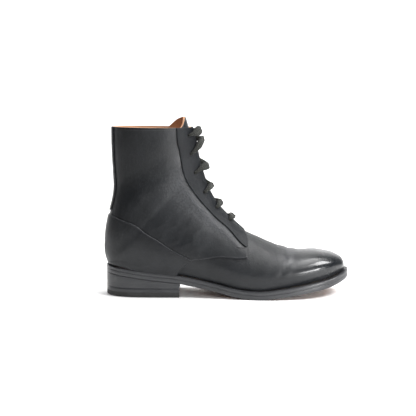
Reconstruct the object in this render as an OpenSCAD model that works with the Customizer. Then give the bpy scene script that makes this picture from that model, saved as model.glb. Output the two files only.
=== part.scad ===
// Lace-up derby ankle boot for the right foot.
// +X points to the toe, +Y to the inner (medial) side, +Z up; the sole stands on Z = 0.

/* [Overall] */
// Length of the outsole
boot_length = 300; // [250:5:360]
// Width of the outsole across the ball
ball_width = 104; // [86:1:125]
// Height of the upper above the insole at the back
shaft_height = 169; // [140:1:203]

/* [Sole] */
// Height of the heel below the outsole at the back edge
heel_height = 27; // [22:0.5:33]
// Rise of the toe above the ball
toe_spring = 21; // [16:0.5:26]
// Thickness of the outsole
outsole_thickness = 5.5; // [4.5:0.1:7]
// Thickness of the welt
welt_thickness = 4.5; // [3.7:0.1:5.5]
// Distance from the heel back to the heel breast
heel_depth = 90; // [75:1:108]
// Thickness of the rubber top piece
top_piece_thickness = 6; // [4:0.5:7]
// Width of the welt's flat ring
welt_width = 15; // [12:0.5:18]
// Thickness of the insole board
insole_thickness = 2.5; // [2:0.1:3.5]
// Thickness of the sock liner
sock_thickness = 1; // [0.6:0.1:1.6]

/* [Upper] */
// Thickness of the main upper leather
leather_thickness = 1.8; // [1.4:0.1:2.2]
// Thickness of facings, back strip and counter cover
overlay_thickness = 1.4; // [1:0.1:1.7]
// Thickness of the lining leather
lining_thickness = 1.2; // [0.8:0.1:1.5]
// Half width of the back strip, as a share of the girth
strip_share = 0.05; // [0.04:0.005:0.07]

/* [Lacing] */
// Radius of the holes in the facings
hole_radius = 2.2; // [1.8:0.1:2.7]
// Wall thickness of an eyelet barrel
eyelet_wall = 0.7; // [0.5:0.1:0.9]
// Width of the lace
lace_width = 7; // [5.5:0.5:8.5]
// Thickness of the lace
lace_thickness = 1.5; // [1.2:0.1:1.8]

/* [Hidden] */

nominal_length = 300;
nominal_width = 104;
nominal_shaft = 169;
kx = boot_length / nominal_length;
ky = ball_width / nominal_width;
kz = shaft_height / nominal_shaft;

// the model is drawn from the heel back and moved so that its box is centred
origin_x = 151.15 * kx;
origin_y = 0;

gap = 0.35;
outline_reach = 80;

// offsets of the leather layers from the design surface
vamp_out = -1;
quarter_out = vamp_out + gap + leather_thickness;
overlay_in = quarter_out + gap;
overlay_out = overlay_in + overlay_thickness;
vamp_in = vamp_out - leather_thickness;
quarter_in = vamp_out + gap;
puff_thickness = 1.2;
tongue_clear = lace_thickness + 1.2;

black = [0.13, 0.13, 0.14];
tan_leather = [0.78, 0.56, 0.42];
lace_colour = [0.2, 0.2, 0.19];

// ---------- side profile of the bed that the upper stands on ----------

// share of the heel height and of the toe spring along the foot
heel_rise = [[-40, 1.05], [3, 1.02], [26, 0.93], [59, 0.76], [93, 0.63], [116, 0.46], [139, 0.28],
             [163, 0.07], [185, 0], [400, 0]];
toe_rise = [[-40, 0], [195, 0], [216, 0.12], [234, 0.24], [253, 0.38], [274, 0.55], [290, 0.76],
            [303, 1], [340, 1.6]];

function bed(x) = outsole_thickness + welt_thickness + heel_height * lookup(x / kx, heel_rise)
                  + toe_spring * lookup(x / kx, toe_rise);

// ---------- design surface of the upper ----------

// One row per section, from the toe tip to the top line and on to the tongue tip:
// back point x and rise, front point x and rise, half widths at the lower edge (outer, inner side),
// greatest half widths (outer, inner), their height share, girth share below them,
// roundness of the lower part, roundness of the upper part, sideways shift
stations = [
    [299.5,   0.3, 300.0,   2.5,  1.5,  1.5,  1.7,  1.7, 0.35, 0.35, 0.00, 2.00, 6.0],
    [296.5,   0.3, 298.0,  11.0, 12.0, 12.0, 12.5, 12.5, 0.35, 0.25, 0.00, 2.10, 6.0],
    [290.0,   0.3, 293.0,  19.0, 20.5, 19.5, 21.5, 20.5, 0.35, 0.22, 0.00, 2.20, 6.0],
    [278.0,   0.3, 281.0,  28.0, 31.0, 28.0, 33.0, 30.0, 0.35, 0.22, 0.00, 2.30, 6.0],
    [261.0,   0.3, 262.0,  35.0, 39.5, 35.5, 42.0, 38.0, 0.33, 0.22, 0.00, 2.30, 5.5],
    [239.0,   0.3, 239.0,  38.0, 47.0, 41.0, 49.5, 44.0, 0.33, 0.22, 0.00, 2.20, 5.0],
    [214.0,   0.3, 215.0,  47.5, 51.0, 42.5, 53.5, 46.0, 0.30, 0.22, 0.00, 2.00, 4.5],
    [190.0,   0.3, 193.0,  59.5, 51.0, 38.5, 53.5, 44.0, 0.28, 0.22, 0.00, 1.80, 4.0],
    [165.0,   0.3, 172.0,  68.5, 46.5, 31.0, 50.0, 39.0, 0.27, 0.22, 0.00, 1.70, 3.0],
    [139.0,   0.3, 155.0,  80.0, 40.0, 26.0, 44.5, 36.0, 0.27, 0.23, 0.00, 1.70, 2.0],
    [113.0,   0.3, 143.0,  90.0, 35.0, 25.0, 41.0, 36.0, 0.27, 0.25, 0.00, 1.70, 1.0],
    [ 88.0,   0.4, 134.5, 101.0, 32.5, 27.5, 39.5, 36.0, 0.28, 0.27, 0.00, 1.75, 0.0],
    [ 62.0,   0.6, 128.5, 113.0, 31.5, 30.0, 38.0, 36.0, 0.28, 0.29, 0.15, 1.80, 0.0],
    [ 37.0,   1.2, 124.5, 125.5, 29.5, 28.5, 36.5, 35.5, 0.29, 0.31, 0.35, 1.85, 0.0],
    [ 18.0,   2.2, 122.0, 136.0, 21.0, 21.0, 35.0, 34.5, 0.31, 0.34, 0.60, 1.90, 0.0],
    [  9.0,   2.6, 120.5, 143.0, 10.5, 10.5, 34.0, 34.0, 0.33, 0.37, 0.85, 1.95, 0.0],
    [  6.5,   3.0, 119.5, 148.5,  0.0,  0.0, 33.5, 33.5, 0.36, 0.40, 1.00, 2.00, 0.0],
    [  2.5,  19.0, 118.5, 153.0,  0.0,  0.0, 33.0, 33.0, 0.38, 0.42, 1.00, 2.00, 0.0],
    [  3.0,  38.5, 117.8, 157.5,  0.0,  0.0, 32.0, 32.0, 0.40, 0.44, 1.00, 2.00, 0.0],
    [  7.0,  58.0, 117.0, 161.5,  0.0,  0.0, 31.0, 31.0, 0.43, 0.46, 1.00, 2.00, 0.0],
    [ 12.0,  75.5, 116.2, 165.0,  0.0,  0.0, 30.5, 30.5, 0.45, 0.48, 1.00, 2.00, 0.0],
    [ 15.0,  94.5, 115.2, 169.0,  0.0,  0.0, 30.5, 30.5, 0.47, 0.49, 1.00, 2.00, 0.0],
    [ 14.5, 114.5, 114.0, 172.5,  0.0,  0.0, 31.5, 31.5, 0.48, 0.50, 1.00, 2.00, 0.0],
    [ 13.5, 134.5, 112.8, 176.0,  0.0,  0.0, 32.5, 32.5, 0.49, 0.50, 1.00, 2.00, 0.0],
    [ 13.0, 152.5, 111.8, 178.5,  0.0,  0.0, 33.5, 33.5, 0.50, 0.50, 1.00, 2.00, 0.0],
    [ 13.0, 169.5, 111.0, 181.5,  0.0,  0.0, 34.5, 34.5, 0.50, 0.50, 1.00, 2.00, 0.0],
    [ 13.0, 180.0, 108.5, 190.5,  0.0,  0.0, 34.5, 34.5, 0.50, 0.50, 1.00, 2.00, 0.0],
    [ 13.0, 190.0, 105.0, 199.5,  0.0,  0.0, 34.5, 34.5, 0.50, 0.50, 1.00, 2.00, 0.0]
];
top_t = 25;
last_t = len(stations) - 1;

function spline(a, b, c, d, f) = 0.5 * (2 * b + (c - a) * f + (2 * a - 5 * b + 4 * c - d) * f * f
                                        + (3 * b - a - 3 * c + d) * f * f * f);

// the row of section values at any place t along the boot
function section(t) =
    let (i = min(floor(t), last_t - 1),
         f = t - i,
         b = stations[i],
         c = stations[i + 1],
         a = i > 0 ? stations[i - 1] : 2 * b - c,
         d = i + 2 <= last_t ? stations[i + 2] : 2 * c - b)
    spline(a, b, c, d, f);

// height share and half width of one side at girth share s, 0 at the lower edge and 1 on top
function girth(s, low, wide, high, split, round_low, round_top) =
    s < split
    ? let (q = s / split, a = 90 * (1 - q))
      [high * ((1 - round_low) * q + round_low * (1 - sin(a))),
       low + (wide - low) * ((1 - round_low) * (1 - pow(1 - q, 2)) + round_low * cos(a))]
    : let (a = 90 * (s - split) / (1 - split))
      [high + (1 - high) * pow(sin(a), 2 / round_top),
       wide * pow(max(0, cos(a)), 2 / round_top)];

// the point at place t and girth u: 0 is the outer lower edge or the heel back,
// 0.5 the front ridge and 1 the inner lower edge or the heel back again
function surf(t, u) =
    let (r = section(min(max(t, 0), last_t)),
         outer_side = u <= 0.5,
         s = outer_side ? 2 * u : 2 * (1 - u),
         g = girth(s, max(0, outer_side ? r[4] : r[5]), outer_side ? r[6] : r[7], r[8], r[9], r[10], r[11]),
         xb = kx * r[0],
         xf = kx * r[2],
         zb = bed(xb) + kz * r[1],
         zf = bed(xf) + kz * r[3])
    [xb + (xf - xb) * g[0], ky * (r[12] + (outer_side ? -g[1] : g[1])), zb + (zf - zb) * g[0]];

function unit(v) = v / max(norm(v), 0.000001);

step_t = 0.02;
step_u = 0.003;
function outward(t, u) =
    let (along = surf(min(t + step_t, last_t), u) - surf(max(t - step_t, 0), u),
         round = surf(t, min(u + step_u, 1)) - surf(t, max(u - step_u, 0)))
    unit(cross(round, along));

function lifted(t, u, d) = surf(t, u) + d * outward(t, u);

// ---------- panels ----------

function quad(a, b, c, d, flip) = flip ? [[a, b, c], [a, c, d]] : [[a, c, b], [a, d, c]];

// A closed leather panel: rows of [t, u] places, lifted to an outer and an inner offset
module panel(rows, outer, inner, flip = false) {
    n = len(rows);
    m = len(rows[0]);
    points = concat(
        [for (r = rows) for (p = r) lifted(p[0], p[1], is_list(p[2]) ? p[2][0] : outer)],
        [for (r = rows) for (p = r) lifted(p[0], p[1], is_list(p[2]) ? p[2][1] : inner)]);
    k = n * m;
    faces = concat(
        [for (i = [0:n - 2]) for (j = [0:m - 2]) each
            quad(i * m + j, i * m + j + 1, (i + 1) * m + j + 1, (i + 1) * m + j, flip)],
        [for (i = [0:n - 2]) for (j = [0:m - 2]) each
            quad(k + i * m + j, k + i * m + j + 1, k + (i + 1) * m + j + 1, k + (i + 1) * m + j, !flip)],
        [for (j = [0:m - 2]) each quad(j, k + j, k + j + 1, j + 1, flip)],
        [for (j = [0:m - 2]) each quad((n - 1) * m + j, k + (n - 1) * m + j,
                                       k + (n - 1) * m + j + 1, (n - 1) * m + j + 1, !flip)],
        [for (i = [0:n - 2]) each quad(i * m, k + i * m, k + (i + 1) * m, (i + 1) * m, !flip)],
        [for (i = [0:n - 2]) each quad(i * m + m - 1, k + i * m + m - 1,
                                       k + (i + 1) * m + m - 1, (i + 1) * m + m - 1, flip)]);
    polyhedron(points, faces, convexity = 12);
}

function mixed(a, b, f) = a + (b - a) * f;

// a smooth curve through hand-placed points, f from 0 to 1
function along(points, f) =
    let (last = len(points) - 1,
         x = min(max(f, 0), 1) * last,
         i = min(floor(x), last - 1),
         b = points[i],
         c = points[i + 1],
         a = i > 0 ? points[i - 1] : 2 * b - c,
         d = i + 2 <= last ? points[i + 2] : 2 * c - b)
    spline(a, b, c, d, x - i);

// a patch between four edge curves: low and high run the same way, as do start and end
function patch(low, high, start, end, n, m) =
    [for (i = [0:n]) let (s = i / n)
        [for (j = [0:m]) let (r = j / m)
            mixed(along(low, r), along(high, r), s) + mixed(along(start, s), along(end, s), r)
            - mixed(mixed(low[0], low[len(low) - 1], r), mixed(high[0], high[len(high) - 1], r), s)]];

// the same rows of places on the inner side
function inner_side(rows) = [for (r = rows) [for (p = r) [p[0], 1 - p[1]]]];

// smooth step from 0 at a to 1 at b
function smooth(x, a, b) = let (f = min(max((x - a) / (b - a), 0), 1)) f * f * (3 - 2 * f);

// seams, as [t, u] places on the outer side
front_edge = [[7.7, 0.238], [7.72, 0.30], [7.76, 0.36], [7.9, 0.41], [8.25, 0.44], [9.3, 0.455],
              [11, 0.452], [13.5, 0.448], [16.5, 0.445], [19.5, 0.445], [22.5, 0.445], [25, 0.442]];
quarter_low = [[18.2, 0.0], [17.9, 0.06], [16.8, 0.12], [15.0, 0.152], [13.0, 0.137], [11.8, 0.11],
               [10.9, 0.095], [10.3, 0.124], [9.3, 0.174], [8.6, 0.2], [7.7, 0.238]];
back_edge = [[18.2, 0.0], [20, 0.0], [22, 0.0], [25, 0.0]];
top_edge = [[25, 0.0], [25, 0.11], [25, 0.22], [25, 0.33], [25, 0.442]];
cover_seam = [[19.2, 0.0], [18.95, 0.075], [17.6, 0.155], [15.9, 0.192], [13.3, 0.174], [12.1, 0.155],
              [11.3, 0.133], [10.58, 0.113]];
cover_leg = [[10.9, 0.012], [10.85, 0.045], [10.7, 0.085], [10.58, 0.113]];
cover_foot = [[16, 0.0], [14.7, 0.014], [13.4, 0.017], [12.1, 0.015], [10.9, 0.012]];
cover_back = [[16, 0.0], [17, 0.0], [18, 0.0], [19.2, 0.0]];
facing_seam = [[7.82, 0.30], [8.2, 0.314], [8.7, 0.338], [9.3, 0.352], [11, 0.357], [13.3, 0.352],
               [16, 0.354], [18.6, 0.354], [21.8, 0.346], [25, 0.346]];
facing_front = [[7.72, 0.31], [7.78, 0.37], [8.0, 0.42], [8.6, 0.448], [10, 0.454], [12, 0.45],
                [15, 0.446], [18.5, 0.445], [21.8, 0.445], [25, 0.442]];

module place() {
    translate([-origin_x, -origin_y, 0]) children();
}

// ---------- upper ----------

function vamp_rear(u) = lookup(min(u, 1 - u), [[0, 11.2], [0.08, 11], [0.15, 10.3], [0.22, 9.1], [0.27, 8.6],
                                               [0.33, 8.4], [0.4, 8.5], [0.46, 8.7], [0.5, 8.75]]);
vamp_rows = 20;
vamp_columns = 30;

module vamp() {
    rows = [for (i = [0:vamp_rows]) [for (j = [0:vamp_columns])
        let (u = j / vamp_columns) [vamp_rear(u) * i / vamp_rows, u]]];
    color(black) place() panel(rows, vamp_out, vamp_in);
}

// the quarter lining leaves room for the vamp wings and the heel stiffener, and lies close above them
function room_edge(u) = lookup(min(u, 1 - u), [[0, 21], [0.1, 21], [0.2, 19], [0.25, 15], [0.3, 12],
                                               [0.35, 10.8], [0.5, 10.8]]);
lining_near = quarter_in - gap;
lining_far = vamp_in - gap;
function lining_level(t, u) = mixed(lining_far, lining_near, smooth(t, room_edge(u) - 2.5, room_edge(u)));
function lining_rear(u) = lookup(min(u, 1 - u), [[0, 9.3], [0.2, 9.0], [0.35, 8.5], [0.42, 8.1], [0.5, 8.0]]);
lining_rows = 16;
lining_columns = 14;
lining_foot = 0.012;

module quarter_lining(inner) {
    rows = [for (i = [0:lining_rows]) [for (j = [0:lining_columns])
        let (u = mixed(lining_foot, 0.436, j / lining_columns),
             t = mixed(lining_rear(u) + 0.1, top_t, i / lining_rows),
             level = lining_level(t, u))
        [t, inner ? 1 - u : u, [level, level - lining_thickness]]]];
    panel(rows, 0, 0, inner);
}

module lace_holes(inner, radius) {
    for (e = eyes) {
        u = inner ? 1 - e[1] : e[1];
        facing_out(e[0], u) translate([0, 0, -hole_depth]) cylinder(r = radius, h = 2 * hole_depth, $fn = 24);
    }
}

module quarter_lining_lateral() {
    color(tan_leather) place() difference() {
        quarter_lining(false);
        lace_holes(false, flange_radius + gap);
    }
}

module quarter_lining_medial() {
    color(tan_leather) place() difference() {
        quarter_lining(true);
        lace_holes(true, flange_radius + gap);
    }
}

function puff_level(t) = (puff_thickness + gap) * (1 - smooth(t, 3.6, 5));

module vamp_lining() {
    rows = [for (i = [0:14]) [for (j = [0:24])
        let (u = mixed(lining_foot, 1 - lining_foot, j / 24),
             t = lining_rear(u) * i / 14,
             level = lining_far - puff_level(t))
        [t, u, [level, level - lining_thickness]]]];
    color(tan_leather) place() panel(rows, 0, 0);
}

module toe_puff() {
    rows = [for (i = [0:6]) [for (j = [0:20]) [3.4 * i / 6, mixed(0.02, 0.98, j / 20)]]];
    color("wheat") place() panel(rows, lining_far, lining_far - puff_thickness);
}

module quarter(inner) {
    rows = patch(quarter_low, top_edge, back_edge, front_edge, 18, 16);
    panel(inner ? inner_side(rows) : rows, quarter_out, quarter_in, inner);
}

module quarter_lateral() {
    color(black) place() difference() {
        quarter(false);
        lace_holes(false, barrel_radius + gap);
    }
}

module quarter_medial() {
    color(black) place() difference() {
        quarter(true);
        lace_holes(true, barrel_radius + gap);
    }
}

// both halves of a heel piece, joined over the heel back
function both_sides(rows) = [for (r = rows)
    concat([for (j = [len(r) - 1:-1:0]) r[j]], [for (j = [1:len(r) - 1]) [r[j][0], 1 - r[j][1]]])];

module counter_cover() {
    rows = both_sides(patch(cover_foot, cover_seam, cover_back, cover_leg, 7, 14));
    color(black) place() panel(rows, overlay_out, overlay_in, true);
}

stiffener_seam = [[17.9, 0.0], [17.6, 0.055], [16.5, 0.11], [15.0, 0.135], [13.3, 0.122], [12.1, 0.095],
                  [11.6, 0.075]];
stiffener_front = [[11.6, 0.0], [11.6, 0.04], [11.6, 0.075]];
stiffener_foot = [[16, 0.0], [14.5, 0.0], [13, 0.0], [11.6, 0.0]];
stiffener_back = [[16, 0.0], [17, 0.0], [17.9, 0.0]];

module heel_stiffener() {
    rows = both_sides(patch(stiffener_foot, stiffener_seam, stiffener_back, stiffener_front, 5, 10));
    color("tan") place() panel(rows, quarter_out - gap, quarter_in - gap, true);
}

module back_strip() {
    rows = [for (i = [0:12]) let (t = mixed(19.45, top_t, i / 12))
        [for (j = [-3:3]) let (u = j * strip_share / 3) [t, u < 0 ? 1 + u : u]]];
    color(black) place() panel(rows, overlay_out, overlay_in);
}

module facing(inner) {
    rows = [for (i = [0:24]) let (a = along(facing_seam, i / 24), b = along(facing_front, i / 24))
        [for (j = [0:4]) mixed(a, b, j / 4)]];
    panel(inner ? inner_side(rows) : rows, overlay_out, overlay_in, inner);
}

module facing_lateral() {
    color(black) place() difference() {
        facing(false);
        lace_holes(false, hole_radius);
    }
}

module facing_medial() {
    color(black) place() difference() {
        facing(true);
        lace_holes(true, hole_radius);
    }
}

// ---------- eyelets and lace ----------

// places of the six holes, from the top down
eyes = [[22.9, 0.404], [18.7, 0.398], [14.6, 0.396], [12.1, 0.398], [10.4, 0.41], [9.05, 0.415]];
hole_depth = 9;
barrel_radius = hole_radius + eyelet_wall;
flange_radius = barrel_radius + 1.2;
flange_thickness = 0.4;
barrel_top = quarter_out;
flange_clearance = 0.45;
barrel_bottom = lining_near - lining_thickness - flange_clearance;

// a frame whose Z axis leaves the upper at a place
module facing_out(t, u) {
    p = surf(t, u);
    n = outward(t, u);
    turn = atan2(n[1], n[0]);
    tilt = acos(n[2]);
    translate(p) rotate([0, tilt, turn]) children();
}

module eyelet() {
    rotate_extrude($fn = 32) polygon([
        [hole_radius, barrel_bottom - flange_thickness], [flange_radius, barrel_bottom - flange_thickness],
        [flange_radius, barrel_bottom], [barrel_radius, barrel_bottom],
        [barrel_radius, barrel_top], [hole_radius, barrel_top]]);
}

module eyelets(inner) {
    for (e = eyes) {
        facing_out(e[0], inner ? 1 - e[1] : e[1]) eyelet();
    }
}

module eyelets_lateral() {
    color("dimgray") place() eyelets(false);
}

module eyelets_medial() {
    color("dimgray") place() eyelets(true);
}

// a flat cord swept along points, each with its width direction, half width and half thickness
module ribbon(rings) {
    n = len(rings);
    points = [for (r = rings) each
        [r[0] + r[1] * r[3] + r[2] * r[4] * 0.5, r[0] + r[1] * r[3] * 0.7 + r[2] * r[4],
         r[0] - r[1] * r[3] * 0.7 + r[2] * r[4], r[0] - r[1] * r[3] + r[2] * r[4] * 0.5,
         r[0] - r[1] * r[3] - r[2] * r[4] * 0.5, r[0] - r[1] * r[3] * 0.7 - r[2] * r[4],
         r[0] + r[1] * r[3] * 0.7 - r[2] * r[4], r[0] + r[1] * r[3] - r[2] * r[4] * 0.5]];
    faces = concat(
        [for (i = [0:n - 2]) for (j = [0:7]) each
            quad(8 * i + j, 8 * i + (j + 1) % 8, 8 * i + 8 + (j + 1) % 8, 8 * i + 8 + j, false)],
        [[for (j = [0:7]) j]],
        [[for (j = [7:-1:0]) 8 * (n - 1) + j]]);
    polyhedron(points, faces, convexity = 20);
}

lace_hole_half = 0.62 * hole_radius;
outside_lift = overlay_out + lace_thickness / 2 + 0.5;
inside_lift = barrel_bottom - flange_thickness - lace_thickness / 2 - 0.15;
cross_lift = lace_thickness / 2 + 0.45;

// one place of a lace: at share f of the way from hole e to hole g in height
function lace_place(e, g, f, u, lift, wide) =
    [mixed(e[0], g[0], f), u, lift, wide * lace_width / 2, lace_thickness / 2];

function through_hole(e) = [
    [e[0], e[1], inside_lift, lace_hole_half, 0.9],
    [e[0], e[1], -1.2, lace_hole_half, 1.1],
    [e[0], e[1], overlay_out + 0.6, lace_hole_half, 1.1]
];

// a strand out of hole e, over its facing, across the gap and under the other facing towards g
function strand(e, g, over) = concat(through_hole(e), [
    lace_place(e, g, 0.06, mixed(e[1], 0.5, 0.22), outside_lift, 0.75),
    lace_place(e, g, 0.14, mixed(e[1], 0.5, 0.52), outside_lift + 0.2, 1),
    lace_place(e, g, 0.32, mixed(e[1], 0.5, 0.8), over ? cross_lift + 0.8 : 0, 1),
    lace_place(e, g, 0.5, 0.5, over ? cross_lift + 0.4 : -cross_lift + 0.4, 1),
    lace_place(e, g, 0.68, mixed(0.5, g[1], 0.2), over ? cross_lift - 0.2 : -cross_lift - 0.6, 1),
    lace_place(e, g, 0.84, mixed(0.5, g[1], 0.45), -2.8, 1),
    lace_place(e, g, 0.93, mixed(0.5, g[1], 0.72), inside_lift, 0.85)
]);

function hole(k, inner) = [eyes[k][0], inner ? 1 - eyes[k][1] : eyes[k][1]];
lowest = len(eyes) - 1;

// one half of the lace, from the middle of the bar under the lowest holes up to the tucked end
tuck = [24.3, 0.4];
function lace_half(inner) = concat(
    [for (f = [0.5, 1]) lace_place(hole(lowest, inner), hole(lowest, !inner), 0,
                                   mixed(0.5, hole(lowest, inner)[1], f * 0.8), inside_lift, 1)],
    [for (k = [lowest:-1:1]) each
        strand(hole(k, (lowest - k) % 2 == 0 ? inner : !inner),
               hole(k - 1, (lowest - k) % 2 == 0 ? !inner : inner), inner)],
    strand(hole(0, lowest % 2 == 0 ? inner : !inner),
           [tuck[0], (lowest % 2 == 0) == inner ? tuck[1] : 1 - tuck[1]], inner),
    [[tuck[0], (lowest % 2 == 0) == inner ? tuck[1] : 1 - tuck[1], inside_lift,
      lace_width / 2, lace_thickness / 2]]);

function backwards(list) = [for (i = [len(list) - 1:-1:0]) list[i]];

// rings of a cord whose places lie on the upper; its width follows the boot's height
function rings_on_upper(places) =
    let (c = [for (p = places) lifted(p[0], p[1], p[2])], last = len(places) - 1)
    [for (i = [0:last]) let (
        run = unit(c[min(i + 1, last)] - c[max(i - 1, 0)]),
        up = surf(min(places[i][0] + 0.1, last_t), places[i][1]) - surf(places[i][0] - 0.1, places[i][1]),
        across = unit(up - run * (up * run)))
        [c[i], across, unit(cross(run, across)), places[i][3], places[i][4]]];

module lace() {
    bar_middle = [[eyes[lowest][0], 0.5, inside_lift, lace_width / 2, lace_thickness / 2]];
    color(lace_colour) place()
        ribbon(rings_on_upper(concat(backwards(lace_half(false)), bar_middle, lace_half(true))));
}

// route of the outer lace end, hanging inside the shaft; the inner one mirrors it
end_route = [[99.2, -17.2, 202], [94, -21.3, 201.3], [87, -24.9, 199.6], [80, -26.9, 197], [74, -27.9, 193],
             [70, -28.1, 187], [68, -27.4, 178], [67.5, -26.6, 166], [67, -26.5, 152], [67, -26.6, 138],
             [67, -26.6, 124], [67, -26.6, 110], [67, -26.6, 96], [67, -26.6, 82], [67, -26.6, 70]];
aglet_length = 18;
aglet_radius = 1.7;

module lace_end() {
    last = len(end_route) - 1;
    rings = [for (i = [0:last]) let (
        run = unit(end_route[min(i + 1, last)] - end_route[max(i - 1, 0)]),
        out = [max(0, (end_route[i][0] - 67) / 33), -1, 0],
        across = unit(cross(out, run)))
        [end_route[i], across, unit(cross(run, across)), lace_width / 2, lace_thickness / 2]];
    ribbon(rings);
}

module lace_end_lateral() {
    color(lace_colour) place() lace_end();
}

module lace_end_medial() {
    color(lace_colour) place() mirror([0, 1, 0]) lace_end();
}

module aglets() {
    tip = end_route[len(end_route) - 1];
    color("black") place() for (side = [1, -1]) {
        translate([tip[0], side * tip[1], tip[2] - aglet_length])
            cylinder(r = aglet_radius, h = aglet_length, $fn = 24);
    }
}

// ---------- tongue ----------

tongue_out = barrel_bottom - flange_thickness - tongue_clear;

function tongue_half(t) = lookup(t, [[8.3, 0.09], [10, 0.115], [14, 0.15], [20, 0.175], [24, 0.185], [27, 0.17]]);
// the upper edge of the tongue is rounded: its corners stay lower than its middle
function tongue_top(f) = 26.4 - 1.6 * pow(abs(f), 3);

function tongue_rows(n, m) = [for (i = [0:n]) [for (j = [0:m])
    let (f = 2 * j / m - 1, t = mixed(8.45, tongue_top(f), i / n)) [t, 0.5 + f * tongue_half(t)]]];

module tongue() {
    color(black) place() panel(tongue_rows(16, 10), tongue_out, tongue_out - leather_thickness);
}

module tongue_lining() {
    color(tan_leather) place()
        panel(tongue_rows(16, 10), tongue_out - leather_thickness, tongue_out - leather_thickness - 1);
}

// ---------- sole ----------

// edge of the outsole, round from the toe tip over the outer side to the heel and back
sole_points = [
    [303, 6], [300.5, -8], [294, -19], [282, -31], [264, -41.5], [240, -49], [214, -52], [190, -51.3],
    [165, -47.5], [139, -41.5], [113, -37], [88, -35.2], [62, -34.6], [37, -33], [18, -26.5], [7, -15],
    [3, 0], [7, 15], [18, 26.5], [37, 32.5], [62, 33.6], [88, 31.5], [113, 28.6], [139, 30], [165, 36],
    [190, 45.5], [214, 52], [240, 51], [264, 46], [282, 38.5], [294, 29], [300.5, 19]
];
edge_steps = 3;
sole_count = len(sole_points);
function sole_edge(k) =
    let (i = floor(k / edge_steps), f = k / edge_steps - i,
         p = spline(sole_points[(i + sole_count - 1) % sole_count], sole_points[i % sole_count],
                    sole_points[(i + 1) % sole_count], sole_points[(i + 2) % sole_count], f))
    [kx * p[0], ky * p[1]];
edge_count = sole_count * edge_steps;
function sole_inset(k, d) =
    let (a = sole_edge((k + edge_count - 1) % edge_count), b = sole_edge((k + 1) % edge_count), v = b - a,
         n = [-v[1], v[0]] / norm(v))
    sole_edge(k) - d * n;

module plan(inset = 0) {
    translate([0, 0, -outline_reach]) linear_extrude(4 * outline_reach)
        polygon([for (k = [0:edge_count - 1]) sole_inset(k, inset)]);
}

profile_x = concat([-10, 3, 14], [for (x = [26:11:300]) x], [303, 310]);

// a layer between two heights below the bed line, from x0 to x1
module layer(top, bottom, x0 = -10, x1 = 310) {
    xs = concat([x0 * kx], [for (x = profile_x) if (x > x0 + 1 && x < x1 - 1) x * kx], [x1 * kx]);
    translate([0, outline_reach, 0]) rotate([90, 0, 0]) linear_extrude(2 * outline_reach)
        polygon(concat([for (x = xs) [x, bed(x) - top]],
                       [for (i = [len(xs) - 1:-1:0]) [xs[i], bed(xs[i]) - bottom]]));
}

module outsole() {
    color(black) place() intersection() {
        plan();
        layer(welt_thickness, welt_thickness + outsole_thickness);
    }
}

module welt() {
    color(black) place() intersection() {
        difference() {
            plan();
            plan(welt_width);
        }
        layer(0, welt_thickness);
    }
}

cork_clearance = 0.2;
cork_gap = 0.1;
shank_back = 48;
shank_length = 106;
shank_width = 14;
shank_thickness = 1.5;
shank_cover = 1;

module shank_shape(grow) {
    intersection() {
        translate([shank_back * kx - grow, -shank_width / 2 - grow, 0])
            cube([shank_length * kx + 2 * grow, shank_width + 2 * grow, outline_reach]);
        layer(shank_cover - grow, shank_cover + shank_thickness + grow);
    }
}

module cork_filler() {
    color("peru") place() difference() {
        intersection() {
            plan(welt_width + cork_clearance);
            layer(cork_gap, welt_thickness - cork_gap);
        }
        shank_shape(gap);
    }
}

module shank() {
    color("silver") place() shank_shape(0);
}

insole_inset = 10.5;
insole_gap = 0.2;
sock_gap = 0.1;
sock_margin = 1;
sock_bottom = insole_gap + insole_thickness + sock_gap;

module insole() {
    color("burlywood") place() intersection() {
        plan(insole_inset);
        layer(-insole_gap - insole_thickness, -insole_gap);
    }
}

module sock_liner() {
    color(tan_leather) place() intersection() {
        plan(insole_inset + sock_margin);
        layer(-sock_bottom - sock_thickness, -sock_bottom);
    }
}

sole_thickness = welt_thickness + outsole_thickness;
wedge_edge = 0.6;
lift_thickness = (bed(heel_depth) - sole_thickness - top_piece_thickness - wedge_edge) / 2;
breast_radius = 160;

// the heel's plan: the outsole's edge, cut off by a shallow concave breast
module heel_plan(inset) {
    difference() {
        plan(inset);
        translate([heel_depth + breast_radius, 0, -outline_reach])
            cylinder(r = breast_radius, h = 4 * outline_reach, $fn = 128);
    }
}

module nail_holes(radius) {
    for (p = nail_places) {
        translate([p[0], p[1], -nail_sink]) cylinder(r = radius, h = nail_top + nail_sink, $fn = 20);
    }
}

// each slice of the heel is a little narrower than the one above
heel_step = 0.25;
nail_radius = 1;
nail_clearance = 0.05;
nail_sink = 0.4;
nail_top = top_piece_thickness + lift_thickness;
nail_rows = [[0.22, 16], [0.42, 24], [0.67, 25], [0.89, 24]];
nail_places = concat([[0.16 * heel_depth, 0]],
                     [for (r = nail_rows) for (side = [-1, 1]) [r[0] * heel_depth, side * ky * r[1]]]);

module heel_wedge() {
    color(black) place() intersection() {
        heel_plan(0);
        layer(sole_thickness, sole_thickness + outline_reach, -10, heel_depth / kx + 10);
        above(top_piece_thickness + 2 * lift_thickness, outline_reach);
    }
}

// the space between two heights over the whole heel
module above(bottom, height) {
    translate([-outline_reach, -outline_reach, bottom])
        cube([heel_depth + 2 * outline_reach, 2 * outline_reach, height]);
}

module heel_slice(bottom, height, inset) {
    intersection() {
        heel_plan(inset);
        above(bottom, height);
    }
}

module heel_lift_upper() {
    color(black) place() heel_slice(top_piece_thickness + lift_thickness, lift_thickness, heel_step);
}

module heel_lift_lower() {
    color(black) place() difference() {
        heel_slice(top_piece_thickness, lift_thickness, 2 * heel_step);
        nail_holes(nail_radius + nail_clearance);
    }
}

module top_piece() {
    color(black) place() difference() {
        heel_slice(0, top_piece_thickness, 3 * heel_step);
        nail_holes(nail_radius + nail_clearance);
    }
}

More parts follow.
